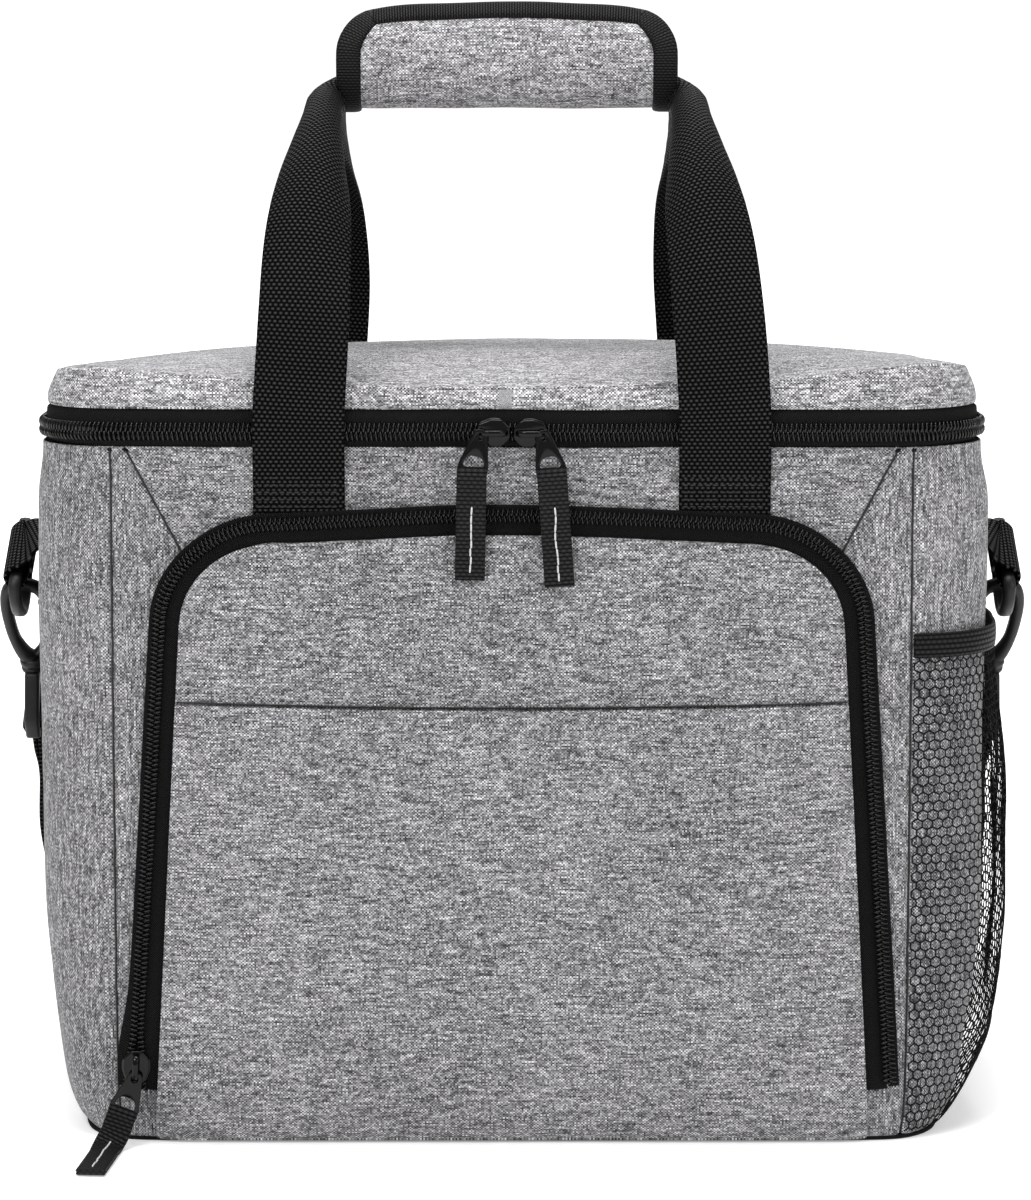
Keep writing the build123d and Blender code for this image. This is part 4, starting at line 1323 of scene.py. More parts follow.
# ---------------------------------------------------------------- front pocket
def pocket_sheet():
    """The pocket's front as a grid: rows from the base up to the top, rounded upper corners. Blown
    up as cloth with its edges held."""
    inset = 7.8
    edge = pocket_line(inset, 2.0, 3.0)
    top = POCKET_TOP - inset
    zs = np.concatenate([scale_with([2.0, top - 40], 6.0), top - np.array([33, 26, 20, 14.5, 10, 6, 3, 1.2, 0])])
    edge_z = np.maximum.accumulate(edge[:, 1])
    shares = mirrored(np.concatenate([scale_with([0, 0.96], 0.04), [0.98, 0.993, 1.0]]))
    slip_top = box_mm("slip_pocket")[1][2]
    points = np.empty((len(zs), len(shares), 3))
    for j, z in enumerate(zs):
        w = float(np.interp(z, edge_z, edge[:, 0]))
        if z > top - POCKET_R + inset:
            r = POCKET_R - inset
            w = POCKET_TOP_X - POCKET_R + math.sqrt(max(0.0, r ** 2 - (z - (top - r)) ** 2))
        for i, share in enumerate(shares):
            x = share * w
            rim = min(1.0, min(w - abs(x), top - z) / 16)
            puff = 2.2 * smooth(0, 1, rim) + 0.7 * ripple(x, 0, z * 0.7, 60, 3.0) * rim
            puff -= 1.5 * bell(z, slip_top, 8) * rim
            low = smooth(0, 18, z)
            points[j, i] = on_front(x, z, 1.2 + (POCKET_LIFT + 0.8) * low + puff * (0.3 + 0.7 * low))
            points[j, i, 2] += pocket_arch(x, z)
    rows, cols = points.shape[:2]
    held = [j * cols + i for j in range(rows) for i in range(cols)
            if j < 1 or j == rows - 1 or i in (0, cols - 1)]
    blown = simulate("pocket_cloth", points.reshape(-1, 3), grid_faces(rows, cols), held, 1.2, 3.0)
    return shares, zs, blown.reshape(points.shape)


def front_pocket():
    shares, zs, points = pocket_sheet()
    grain = np.empty((*points.shape[:2], 2))
    grain[..., 0] = points[..., 0] + 37
    grain[..., 1] = points[..., 2]
    piece = soften(sheet("pocket_panel_cloth", points, grain, 2.2, HEATHER))
    settle(piece, ("bag", "pocket", *POCKET_ENDS), "heather_fabric", "pocket_panel")

    face = Surface(shares, zs, points)
    slip_top = box_mm("slip_pocket")[1][2]
    rows = np.concatenate([scale_with([2.0, slip_top - 8], 6.0), slip_top - np.array([5, 2.5, 1, 0])])
    slip = np.empty((len(rows), len(shares), 3))
    for j, z in enumerate(rows):
        for i, share in enumerate(shares):
            droop = -1.9 * (1 - share ** 2) * smooth(slip_top - 60, slip_top, z)
            slack = 1.3 + 1.9 * (1 - share ** 6) * smooth(slip_top - 60, slip_top, z)
            slip[j, i] = face.at(share, z + droop, slack - 0.8 * smooth(0.97, 1.0, abs(share)))
    grain = np.dstack([slip[..., 0] + 111, slip[..., 2] + 50])
    piece = soften(sheet("slip_pocket_cloth", slip, grain, 1.0, HEATHER))
    settle(piece, ("bag", "pocket", *POCKET_ENDS), "heather_fabric", "slip_pocket")
    # A black cord just above the slip pocket's edge: painted shadow for the gap where the pocket's face goes in
    # behind that edge.
    line = [face.at(share, slip_top + 0.8 - 1.9 * (1 - share ** 2), 0.6) for share in shares[1:-1]]
    cord = tube(line, 0.4, 6)
    settle(add_parts("slip_pocket_shadow_line", [cord], BLACK_THREAD), ("bag", "pocket", *POCKET_ENDS),
           "black_fabric")
    return face


POCKET_FACE = front_pocket()


# ---------------------------------------------------------------- handles and grip
GRIP_SHIFT = -2.2  # the grip sits a little left of the middle
STITCH_ROWS = (270, 273, 276, 279, 282, 285)  # levels of the stitching across each front leg


def handle(side, word):
    """One carrying handle: two legs of webbing that run up from under the pocket's zipper, lean in
    over the lid and turn along the grip. side is -1 in front and 1 behind."""
    pivot_z = box_mm(f"{word}_handle_loop")[0][2]
    grip_z = (box_mm("grip_wrap")[0][2] + box_mm("grip_wrap")[1][2]) / 2
    y = HALF_D + 0.6 + WEB_T / 2
    middle = (WEB_IN + WEB_OUT) / 2
    low = POCKET_TOP - 34 if side < 0 else 14.0
    parts = []
    top = grip_z - 16.0
    spread_out = 3.5 if side > 0 else 0.0  # behind, the webbing bows out a little beside the other
    knots = [
        (-middle, y, low), (-middle, y, low + 30), (-middle, y + 0.3, pivot_z - 8),
        (-middle, y + 2.0, pivot_z + 8), (-middle + 0.3, y + 4.5, pivot_z + 24),
        (-middle + 2.8, y + 4.5, 350), (-middle + 5.2 - spread_out / 2, y - 4, 380),
        (-middle + 8.4 - spread_out, y - 20, 404), (-middle + 11.6 - spread_out, y - 45, 422),
        (-middle + 14.0 - spread_out / 2, y - 76, top - 4), (-middle + 15.6, y - 101, top + 1),
        (-62, 9.0, top + 5), (-40, 4.0, top + 8 - 2 * side), (0, 3.0, top + 9 - 2 * side),
    ]
    outer = [(-1, 0, 0)] * 6 + [(-1, 0.05, 0.05), (-1, 0.1, 0.15), (-0.95, 0.1, 0.35), (-0.8, 0, 0.7),
             (-0.6, -0.1, 1), (-0.3, -0.1, 1), (0, -0.1, 1), (0, 0, 1)]
    curls = [0, 0, 0, 0, 0.004, 0.014, 0.032, 0.058, 0.09, 0.13, 0.15, 0.14, 0.11, 0.1]
    state = np.column_stack([np.array(knots), np.array(outer), np.array(curls) * 1000])
    left = smooth_path(state, 4.0)
    right = left[::-1][1:] * np.array([-1, 1, 1, 1, -1, -1, 1])
    full = np.vstack([left, right])
    centres = full[:, :3] * [1, side, 1]
    centres[:, 0] += [GRIP_SHIFT * smooth(330, 430, z) for z in centres[:, 2]]
    across = full[:, 3:6] * [1, side, 1]
    curl = full[:, 6] / 1000
    across[len(left):] *= -1
    face = -1 if side > 0 else 1  # the webbing's own face looks away from the bag
    piece = add_parts(
        f"{word}_handle_webbing",
        [ribbon(centres, -across * face, 19.0, WEB_T, curl, 14)],
        WEBBING,
    )
    ends = ((0, side * 123 * MM, (pivot_z - 6) * MM), (0, side * 123 * MM, (pivot_z + 8) * MM))
    settle(piece, ("bag", f"{word}_handle", *ends), "webbing", f"{word}_handle_loop",
           f"{word}_sewn_webbing")
    rows = []
    for z in STITCH_ROWS:
        for leg in (-1, 1):
            line = [(leg * middle + dx, side * (y + WEB_T / 2 + 0.1), z) for dx in (-17.5, 0, 17.5)]
            rows.append(stitches(line, 2.3, 0.8, 0.42, out=(0, side, 0)))
    settle(add_parts(f"{word}_handle_stitching", rows, BLACK_THREAD), "bag", "webbing")


handle(-1, "front")
handle(1, "back")

GRIP_LOW, GRIP_HIGH = box_mm("grip_wrap")[0], box_mm("grip_wrap")[1]
GRIP_HALF = GRIP_HIGH[0]
GRIP_MID = (GRIP_LOW[2] + GRIP_HIGH[2]) / 2
GRIP_Y = GRIP_HIGH[1]
GRIP_Z = (GRIP_HIGH[2] - GRIP_LOW[2]) / 2


def grip_section(a, grow=0.0):
    """The grip's padded section at an angle from straight ahead, going up: (y, z)."""
    c, s = math.cos(a), math.sin(a)
    y = -math.copysign(abs(c) ** 0.72, c) * (GRIP_Y + grow)
    z = math.copysign(abs(s) ** 0.72, s) * (GRIP_Z + grow)
    return y, GRIP_MID + z


GRIP_END = GRIP_HALF - 3.0
GRIP_CORNER, BIND = 22.0, 5.6  # rounding of the bound upper corners; half width of the binding
FLAP_TOP = 58  # where the flap's upper edge ends, in degrees round the grip


def grip_half(z, inset=0.0):
    """Half the grip's length at a height, less an inset."""
    above = max(0.0, z - (grip_section(math.radians(FLAP_TOP))[1] + BIND - GRIP_CORNER))
    radius = GRIP_CORNER - inset
    return GRIP_END - GRIP_CORNER + math.sqrt(max(0.0, radius ** 2 - above ** 2))


def grip_arch(x, z):
    """The grip bows up along its length, more at its top."""
    amount = 1.2 + 2.2 * smooth(GRIP_LOW[2], GRIP_HIGH[2], z)
    return -amount * (x / GRIP_END) ** 2 + 0.4


def grip_sheet(low, high, step_deg, inset, grow, lumps):
    """A sheet round the grip between two angles."""
    angles = np.radians(scale_with([low, high], step_deg))
    shares = mirrored(np.concatenate([scale_with([0, 0.94], 0.06), [0.97, 0.99, 1.0]]))
    points = np.empty((len(angles), len(shares), 3))
    grain = np.empty((len(angles), len(shares), 2))
    for j, a in enumerate(angles):
        half = grip_half(grip_section(a, grow)[1], inset)
        for i, share in enumerate(shares):
            x = share * half
            pad = 1.5 * (1 - share ** 6) + lumps * ripple(x, 0, a * 24, 26, 2.0)
            y, z = grip_section(a, grow + pad)
            points[j, i] = (x + GRIP_SHIFT, y, z + grip_arch(x, z))
            grain[j, i, 0] = x
    middle = points[:, len(shares) // 2]
    steps = np.linalg.norm(np.diff(middle, axis=0), axis=1)
    grain[..., 1] = np.concatenate([[0.0], np.cumsum(steps)])[:, None]
    return points, grain


def grip():
    points, grain = grip_sheet(50, 286, 6, BIND - 3, -4.7, 0.5)
    # The grip's cloth takes the canvas copy painted lighter for the light from above.
    piece = soften(sheet("grip_wrap_cloth", points, grain, 4.0, HEATHER_PAINTED_LIGHTER))
    settle(piece, "back_handle", "heather_fabric", "grip_wrap", "grip_pad_lower", "grip_pad_upper")
    core = [(x + GRIP_SHIFT, 0, GRIP_MID + grip_arch(x, GRIP_MID)) for x in
            scale_with([-GRIP_END + 3, GRIP_END - 3], 8)]
    core = tube(core, GRIP_Z - 9, 20, side_way=(0, 1, 0), flat=(GRIP_Y - 9) / (GRIP_Z - 9))
    settle(add_parts("grip_padding", [core], BLACK_CLOTH), "back_handle", "black_fabric")
    bindings = []
    for side in (-1, 1):
        line = []
        for a in range(100, 283, 6):
            y, z = grip_section(math.radians(a), -3.4)
            x = grip_half(z, BIND)
            line.append((side * x + GRIP_SHIFT, y, z + grip_arch(x, z)))
        line = np.array(line)
        normals = unit(np.array([(0.0, p[1], p[2] - GRIP_MID) for p in line]))
        bindings.append(fold_over(line, normals, 5.0, 2.6))
    settle(add_parts("grip_end_binding", bindings, BINDING), "back_handle", "black_fabric")

    points, grain = grip_sheet(-74, FLAP_TOP, 5, BIND, -1.4, 0.5)
    rows, cols = points.shape[:2]
    held = [j * cols + i for j in range(rows) for i in range(cols)
            if j in (0, rows - 1) or i in (0, cols - 1)]
    blown = simulate("grip_cloth", points.reshape(-1, 3), grid_faces(rows, cols), held, 1.0, 1.5)
    points = blown.reshape(points.shape)
    piece = soften(sheet("grip_flap_cloth", points, grain, 2.0, HEATHER_PAINTED_LIGHTER))
    settle(piece, "grip_front", "heather_fabric", "grip_flap")
    run = [(j, 0) for j in range(rows)] + [(rows - 1, c) for c in range(1, cols)]
    run += [(j, cols - 1) for j in range(rows - 2, -1, -1)]
    line = smooth_path(np.array([points[r, c] for r, c in run])[::2], 3.0)
    normals = unit(np.array([(0.0, p[1], p[2] - GRIP_MID) for p in line]))
    binding = fold_over(line, normals, 5.4, 2.0)
    settle(add_parts("grip_flap_ribbing", [binding], BINDING), "grip_front", "black_fabric",
           "grip_flap_binding")


def fold_over(line, normals, half_w, half_t, sides=14):
    """Binding folded over a fabric's edge: a flat-sided tube whose flats face along normals."""
    along = unit(np.gradient(line, axis=0))
    across = unit(np.cross(along, normals))
    normals = np.cross(across, along)
    angle = 2 * math.pi * np.arange(sides) / sides
    c = np.sign(np.cos(angle)) * np.abs(np.cos(angle)) ** 0.6 * half_w
    s = np.sign(np.sin(angle)) * np.abs(np.sin(angle)) ** 0.6 * half_t
    points = line[:, None] + across[:, None] * c[None, :, None] + normals[:, None] * s[None, :, None]
    run = np.concatenate([[0.0], np.cumsum(np.linalg.norm(np.diff(line, axis=0), axis=1))])
    grain = np.dstack([np.tile(run[:, None], (1, sides)), np.tile(c[None], (len(line), 1))])
    faces = grid_faces(len(line), sides, loop=True)
    faces.append(tuple(range(sides))[::-1])
    faces.append(tuple(range((len(line) - 1) * sides, len(line) * sides)))
    return points.reshape(-1, 3), faces, grain.reshape(-1, 2)


grip()


# ---------------------------------------------------------------- sliders and pulls
def slider_parts(nose):
    """A slider in its own plane: x along the coil towards nose, y across, z outwards from the coil."""
    shield = rounded([(-6.8, -3.6), (-1.5, -5.6), (3.5, -5.4), (6.6, -2.2), (6.6, 2.2), (3.5, 5.4),
                      (-1.5, 5.6), (-6.8, 3.6)], [1.2, 3, 3, 2, 2, 3, 3, 1.2])
    body = plate(shield, [], 2.2, 0.7)
    body = (body[0] + [0, 0, 0.6], body[1])
    rails = []
    for side in (-1, 1):
        line = [(-6.2, side * 3.6, -0.6), (-1.5, side * 5.3, -0.8), (3.2, side * 5.1, -0.8)]
        rails.append(tube(smooth_path(line, 1.0), 0.8, 8))
    arch = smooth_path([(-5.6, 0, 1.4), (-5.0, 0, 3.6), (-3.2, 0, 4.7), (1.5, 0, 4.9), (4.0, 0, 3.9), (5.2, 0, 1.5)], 0.6)
    bridge = tube(arch, 0.75, 10, side_way=(0, 1, 0), flat=1.7, square=3)
    turn = np.array([nose, nose, 1.0])
    return [(np.asarray(p[0]) * turn, *p[1:]) for p in (body, *rails, bridge)]


def puller_parts():
    """A stamped puller that hangs down from its pin at the origin: x across, y up, z outwards."""
    outer = rounded([(-2.6, 2.3), (2.6, 2.3), (6.3, -13.0), (6.3, -17.0), (-6.3, -17.0), (-6.3, -13.0)],
                    [2.3, 2.3, 3, 1.2, 1.2, 3])
    eye = circle(0, -0.6, 1.5, 16)
    window = rounded([(-4.4, -13.9), (-3.6, -9.0), (3.6, -9.0), (4.4, -13.9)], [0.9, 3.2, 3.2, 0.9])
    slot = rounded([(-4.6, -15.9), (-4.6, -14.9), (4.6, -14.9), (4.6, -15.9)], 0.4)
    return [plate(outer, [eye[::-1], window[::-1], slot[::-1]], 1.3, 0.35)]


def tab_parts(path, across, seed):
    """A pull tab along a path in place: ribbed webbing folded through the puller's slot, and a
    hand-guided line of white thread down its face."""
    path = np.asarray(path, float)
    across = np.broadcast_to(np.asarray(across, float), path.shape)
    along = unit(np.gradient(path, axis=0))
    across = unit(across - along * np.sum(across * along, axis=1, keepdims=True))
    normal = np.cross(along, across)
    gap = 0.62
    start, up, out, way = path[0], -along[0], normal[0], across[0]
    turn = smooth_path([start + out * gap, start + up * 1.3 + out * gap * 0.9, start + up * 1.9,
                        start + up * 1.3 - out * gap * 0.9, start - out * gap], 0.4)
    cloth = [ribbon(path + normal * gap, across, 6.2, 1.15, columns=6),
             ribbon(path - normal * gap, across, 6.1, 1.1, columns=6),
             ribbon(turn, way, 6.2, 1.1, columns=6)]
    run = np.concatenate([[0.0], np.cumsum(np.linalg.norm(np.diff(path, axis=0), axis=1))])
    wander = np.array([0.8 * ripple(k, 1, 0, 7, seed + 3) for k in range(len(path))])
    line = path + normal * 1.28 + across * wander[:, None]
    runs = []
    for k in np.arange(14, run[-1] - 4.6, 3.4):
        near = (run > k - 1.5) & (run < k + 5)
        middle = normal[near][len(normal[near]) // 2]
        places = np.column_stack([np.interp([k, k + 2, k + 4.4], run, line[:, i]) for i in range(3)])
        places += across[0] * (0.35 * ripple(k, 0, 0, 3, seed))
        runs.append(stitches(places, 3.5, 1.0, 0.4, out=middle, wobble=0.25))
    return cloth, runs


def hang(name, origin, x_way, up, path, across, seed, body):
    """A puller on its pin at the origin and its tab along a path in place."""
    metal = [placed(p, origin, x_way, up) for p in puller_parts()]
    settle(add_parts(f"{name}_stamped_puller", metal, METAL), body, "black_metal", f"{name}_puller")
    cloth, white = tab_parts(path, across, seed)
    settle(add_parts(f"{name}_webbing_tab", cloth, RIBBED), body, "webbing", f"{name}_pull_tab")
    settle(add_parts(f"{name}_tab_thread", white, WHITE_THREAD), body, "webbing")


TAB_START = -15.9  # the tab leaves the puller's slot this far below the pin


def lid_pulls():
    for side, word in ((-1, "left"), (1, "right")):
        low, high = box_mm(f"lid_{word}_slider")
        x = (low[0] + high[0]) / 2
        seat = np.array([x - side * 5.2, -HALF_D - 4.9, ZIP_Z + sag(x)])
        parts = [placed(p, seat, (1, 0, 0), (0, 0, 1)) for p in slider_parts(-side)]
        settle(add_parts(f"lid_{word}_cast_slider", parts, METAL), f"{word}_lid_slider", "black_metal",
               f"lid_{word}_slider")
        pin = seat + [side * 5.6, -4.2, -0.6]
        roll = math.radians(13.0)
        up = np.array([-side * math.sin(roll), 0.05, math.cos(roll)])
        x_way = np.cross(up, (0, -1, 0))
        start = pin + up * TAB_START
        drift = 0.02 if side < 0 else 0.07  # the right tab hangs a little askew
        drops = [(0.0, 0.0), (6.0, 0.5), (18.0, 1.3), (30.0, 1.0), (45.6 + 1.2 * side, 0.2)]
        path = smooth_path([start + [side * d * drift, -out, -d] for d, out in drops], 1.5)
        turned = np.clip((start[2] - path[:, 2]) / 8, 0, 1)[:, None]
        across = x_way * (1 - turned) + np.array([1.0, 0.0, side * drift]) * turned
        hang(f"lid_{word}", pin, x_way, up, path, across, 3.0 + side, f"{word}_lid_pull")


def pocket_pull():
    """The pocket's slider; its tab curls forward where it meets the floor."""
    low, high = box_mm("pocket_slider")
    x, z = (low[0] + high[0]) / 2, (low[2] + high[2]) / 2
    along = unit(np.array([POCKET_FOOT_X - POCKET_TOP_X, 0.0, POCKET_TOP - 14]))
    seat = on_front(x, z, POCKET_LIFT + 3.4)
    parts = [placed(p, seat, along, np.cross((0, -1, 0), along)) for p in slider_parts(1)]
    settle(add_parts("pocket_cast_slider", parts, METAL), "pocket_zip_slider", "black_metal",
           "pocket_slider")
    pin = seat + along * -4.2 + np.array([0, -3.9, 0])
    lean = math.radians(20)
    up = np.array([math.sin(lean), 0.0, math.cos(lean)])
    x_way = np.cross(up, (0, -1, 0))
    on_floor = 1.9
    hanging = [(0, TAB_START, 0), (0, -20, 0.2), (0, -25, 1.2)]
    world = [pin + x_way * a + up * b + np.array([0, -c, 0]) for a, b, c in hanging]
    end = world[-1]
    world += [end + np.array([-1.9, -2.6, -3.4]), end + np.array([-2.8, -7.0, -4.6]),
              end + np.array([-3.9, -20, -5.2]), end + np.array([-6.0, -44, -5.4])]
    world = [np.array([p[0], p[1], max(p[2], on_floor + 0.12 * (6 - k))]) for k, p in enumerate(world)]
    path = smooth_path(world, 1.5)
    laid = np.clip((pin[1] - 3 - path[:, 1]) / 12, 0, 1)[:, None]
    across = x_way * (1 - laid) + np.array([0.99, -0.1, 0.0]) * laid
    hang("pocket", pin, x_way, up, path, across, 5.0, "pocket_pull")


lid_pulls()
pocket_pull()


# ---------------------------------------------------------------- mesh pocket
MESH_TOP = box_mm("mesh_pocket_elastic")[1][2]
ELASTIC_LOW = box_mm("mesh_pocket_elastic")[0][2]


def mesh_stand(t, z):
    """How far the net stands off the gusset."""
    from_seam = min(t - SEAM_T - 1, BACK_SEAM_T - 1 - t)
    span = smooth(0, 55, from_seam)
    low = smooth(2, 45, z)
    gather = 1 - 0.72 * smooth(ELASTIC_LOW - 70, ELASTIC_LOW + 3, z)
    folds = 1.0 + 0.25 * math.sin(t / 5.2 + 2.0 * ripple(t, 0, 0, 40, 3.0)) * smooth(120, 210, z)
    folds += 0.22 * ripple(t, 0, z * 0.4, 24, 7.0)
    return 1.0 + 9.5 * span * low * gather * folds


def hexagons(width, height, pitch):
    """Edges of a net of hexagons over a width and height: pairs of points."""
    row_h = pitch * 0.86
    side = pitch / math.sqrt(3)
    edges = []
    for r in range(int(height / row_h) + 1):
        for c in range(int(width / pitch) + 1):
            u = c * pitch + (r % 2) * pitch / 2
            v = r * row_h
            top = (u, v + side * 0.5)
            low = (u, v - side * 0.5)
            if u > width or v + side * 0.5 > height:
                continue
            if v - side * 0.5 > 0:
                edges.append((low, top))
            for step in (-1, 1):
                end = (u + step * pitch / 2, v + row_h - side * 0.5)
                if 0 <= end[0] <= width and end[1] <= height:
                    edges.append((top, end))
    return edges


def net():
    """The net itself, knitted of hexagons, hung from seam to seam round the right gusset."""
    low, high = 3.0, ELASTIC_LOW + 2
    start, end = SEAM_T + 0.6, BACK_SEAM_T - 0.6
    edges = hexagons(end - start, high - low, 4.3)
    known = {}

    def spot(uv):
        key = (round(uv[0], 2), round(uv[1], 2))
        if key not in known:
            t, z = start + uv[0], low + uv[1]
            t += 3.2 * ripple(t, 0, z * 0.5, 32, 4.0) * smooth(0, 25, min(t - start, end - t))
            known[key] = (SHELL.at(t, z, mesh_stand(t, z)), np.append(outline(t)[1], 0.0))
        return known[key]

    a = np.array([spot(e[0])[0] for e in edges])
    b = np.array([spot(e[1])[0] for e in edges])
    out = np.array([spot(e[0])[1] for e in edges])
    along = unit(b - a)
    side = unit(np.cross(along, out))
    over = np.cross(side, along)
    half_w, half_t = 0.36, 0.28
    corners = []
    for base in (a - along * 0.1, b + along * 0.1):
        corners += [base + side * half_w, base + over * half_t, base - side * half_w, base - over * half_t]
    points = np.stack(corners, axis=1).reshape(-1, 3)
    faces = []
    for k in range(len(edges)):
        n = k * 8
        faces += [(n + i, n + (i + 1) % 4, n + 4 + (i + 1) % 4, n + 4 + i) for i in range(4)]
        faces += [(n + 3, n + 2, n + 1, n), (n + 4, n + 5, n + 6, n + 7)]
    piece = add_mesh("side_net", points, faces, NET_YARN, points[:, :2])
    settle(piece, "bag", "net", "mesh_pocket")


def elastic():
    """Ribbed elastic along the net's mouth."""
    ts = np.concatenate([[SEAM_T + 0.2, SEAM_T + 1.5], scale_with([SEAM_T + 4, BACK_SEAM_T - 4], 2.5),
                         [BACK_SEAM_T - 1.5, BACK_SEAM_T - 0.2]])
    zs = np.linspace(ELASTIC_LOW, MESH_TOP, 7)
    points = np.empty((len(zs), len(ts), 3))
    for j, z in enumerate(zs):
        for i, t in enumerate(ts):
            from_seam = min(t - SEAM_T, BACK_SEAM_T - t)
            bulge = 0.6 * math.sin(math.pi * (j + 0.5) / len(zs))
            stand = 1.6 + 2.6 * smooth(0, 30, from_seam) + bulge
            points[j, i] = SHELL.at(t, z + 0.8 * ripple(t, 0, 0, 50, 6.0), stand)
    grain = np.dstack(np.meshgrid(ts, zs))[..., ::-1]
    piece = soften(sheet("side_net_elastic", points, grain, 1.6, ELASTIC))
    settle(piece, "bag", "elastic", "mesh_pocket_elastic")


net()
elastic()


# ---------------------------------------------------------------- side tabs, rings and shoulder strap
RING_LOW, RING_HIGH = box_mm("right_d_ring")
RING_X = (RING_LOW[0] + RING_HIGH[0]) / 2
RING_WIRE = (RING_HIGH[0] - RING_LOW[0]) / 2
RING_Z = RING_HIGH[2] - RING_WIRE
RING_R = RING_HIGH[1] - RING_WIRE
LEAN = math.radians(38)
STRAP_REACH = 234.0  # from the rings down the leaning strap to its lowest run
STRAP_UP = np.array([0.0, -math.sin(LEAN), math.cos(LEAN)])
STRAP_FACE = np.array([0.0, -math.cos(LEAN), -math.sin(LEAN)])


RING_ROLL = 28  # degrees; the strap's pull turns each ring, and twists its tab


def side_tab(side, word):
    """Webbing sewn to the gusset and folded round the ring's straight bar."""
    wall = SHELL.at(side * (FLAT_X + ARC + FLAT_Y), RING_Z, 2.0)[0] * side
    x = RING_X
    knots = [(wall, -29, 0), (wall, -10, 0), (wall + 0.2, 3, 0.1), (wall + 2.5, 8.5, 0.35),
             (wall + 7, 9.2, 0.65), (x - 3.0, 6.6, 0.95), (x + 1.6, 5.0, 1), (x + 4.8, 1.2, 1),
             (x + 3.4, -3.8, 1), (x - 1.4, -4.8, 1), (x - 4.9, -1.6, 1), (x - 7.0, 3.4, 0.9),
             (wall + 7, 6.8, 0.65), (wall + 3.8, 5.6, 0.35), (wall + 2.1, 0, 0.1), (wall + 1.9, -10, 0),
             (wall + 1.9, -26, 0)]
    path = smooth_path(knots, 1.2)
    roll = np.radians(path[:, 2] * RING_ROLL)
    centres = np.column_stack([side * path[:, 0], -path[:, 1] * np.sin(roll),
                               RING_Z + path[:, 1] * np.cos(roll)])
    across = np.column_stack([np.zeros(len(path)), np.cos(roll), np.sin(roll)])
    piece = add_parts(f"{word}_tab_webbing", [ribbon(centres, across, 18.5, 1.6, columns=8)], WEBBING)
    settle(piece, "bag", "webbing", f"{word}_side_tab")


def ring(side, word):
    """The D-ring, moulded with a boxy section."""
    x = side * RING_X
    roll = math.radians(RING_ROLL)
    turn = [math.pi * k / 16 - roll for k in range(17)]
    arc = [(x, RING_R * math.cos(a), RING_Z - RING_R * math.sin(a)) for a in turn]
    first, last = np.array(arc[-1]), np.array(arc[0])
    bar = [tuple(first + (last - first) * k / 6) for k in range(1, 6)]
    piece = add_parts(f"{word}_moulded_ring",
                      [tube(arc + bar, RING_WIRE, 12, loop=True, side_way=(1, 0, 0), flat=1.15, square=3.2)],
                      PLASTIC)
    settle(piece, "bag", "black_plastic", f"{word}_d_ring")


def strap_spot(x, up, out=0.0):
    """A place in the strap's hanging plane, up millimetres along it from the rings' centres."""
    return np.array([x, 0.0, RING_Z]) + STRAP_UP * up + STRAP_FACE * out


def snap_hook(side, word):
    """A moulded swivel hook: a J that hooks the ring, a sprung gate, and a stem with two collars."""
    top = -RING_R + RING_WIRE + 5.5
    foot = top - 50
    half = 8.6
    knots = [(side * -7.4, top - 13), (side * -8.4, top - 9), (side * -6.0, top - 3.8), (0, top - 1.6),
             (side * 6.4, top - 4), (side * half, top - 11), (side * half * 0.95, top - 24),
             (side * half * 0.75, top - 36), (side * 3.2, top - 45), (0, top - 49)]
    path = smooth_path([strap_spot(side * RING_X + x, u) for x, u in knots], 1.2)
    wire = np.interp(np.linspace(0, 1, len(path)), [0, 0.1, 0.5, 0.8, 1], [2.0, 2.5, 2.7, 2.5, 3.4])
    parts = [tube(path, wire, 12, side_way=STRAP_FACE, flat=1.2, square=3)]
    stem = [(foot + 2.5, 4.2), (foot + 1.4, 5.6), (foot - 0.8, 5.6), (foot - 1.6, 4.4), (foot - 2.6, 4.4),
            (foot - 3.4, 5.2), (foot - 4.6, 5.2), (foot - 5.4, 3.0), (foot - 13.6, 3.0), (foot - 14, 4.0), (foot - 15.4, 4.0), (foot - 15.8, 2.6)]
    line = [strap_spot(side * RING_X, u) for u, _ in stem]
    parts.append(tube(line, [r for _, r in stem], 20, side_way=STRAP_FACE))
    settle(add_parts(f"{word}_moulded_hook", parts, PLASTIC), f"{word}_hook", "black_plastic",
           f"{word}_snap_hook")
    gate = smooth_path([strap_spot(side * RING_X + side * x, u) for x, u in
                        ((-2.4, top - 45.5), (-5.4, top - 40), (-7.2, top - 28), (-7.4, top - 14.6))], 1.5)
    piece = add_parts(f"{word}_spring_gate", [tube(gate, 1.5, 8, side_way=STRAP_FACE, flat=1.5, square=3)],
                      PLASTIC)
    settle(piece, f"{word}_gate", "black_plastic", f"{word}_hook_gate")
    return foot - 3.2


def strap_buckle(side, word, top):
    """The moulded frame at the strap's end, which holds the hook's stem and the strap's loop."""
    outer = rounded([(-6.5, top), (6.5, top), (23, top - 15), (23, top - 26), (-23, top - 26), (-23, top - 15)],
                    [2.5, 2.5, 5, 2.5, 2.5, 5])
    window = rounded([(-7.5, top - 8.5), (7.5, top - 8.5), (19.3, top - 16), (19.3, top - 21.2),
                      (-19.3, top - 21.2), (-19.3, top - 16)], [2, 2, 2, 1, 1, 2])
    frame_part = plate(outer, [window[::-1]], 6.6, 1.3)
    part = placed(frame_part, (side * RING_X, 0, RING_Z), np.cross(STRAP_UP, (1, 0, 0)), STRAP_UP)
    settle(add_parts(f"{word}_moulded_buckle", [part], PLASTIC), "shoulder_strap", "black_plastic",
           f"{word}_strap_buckle")


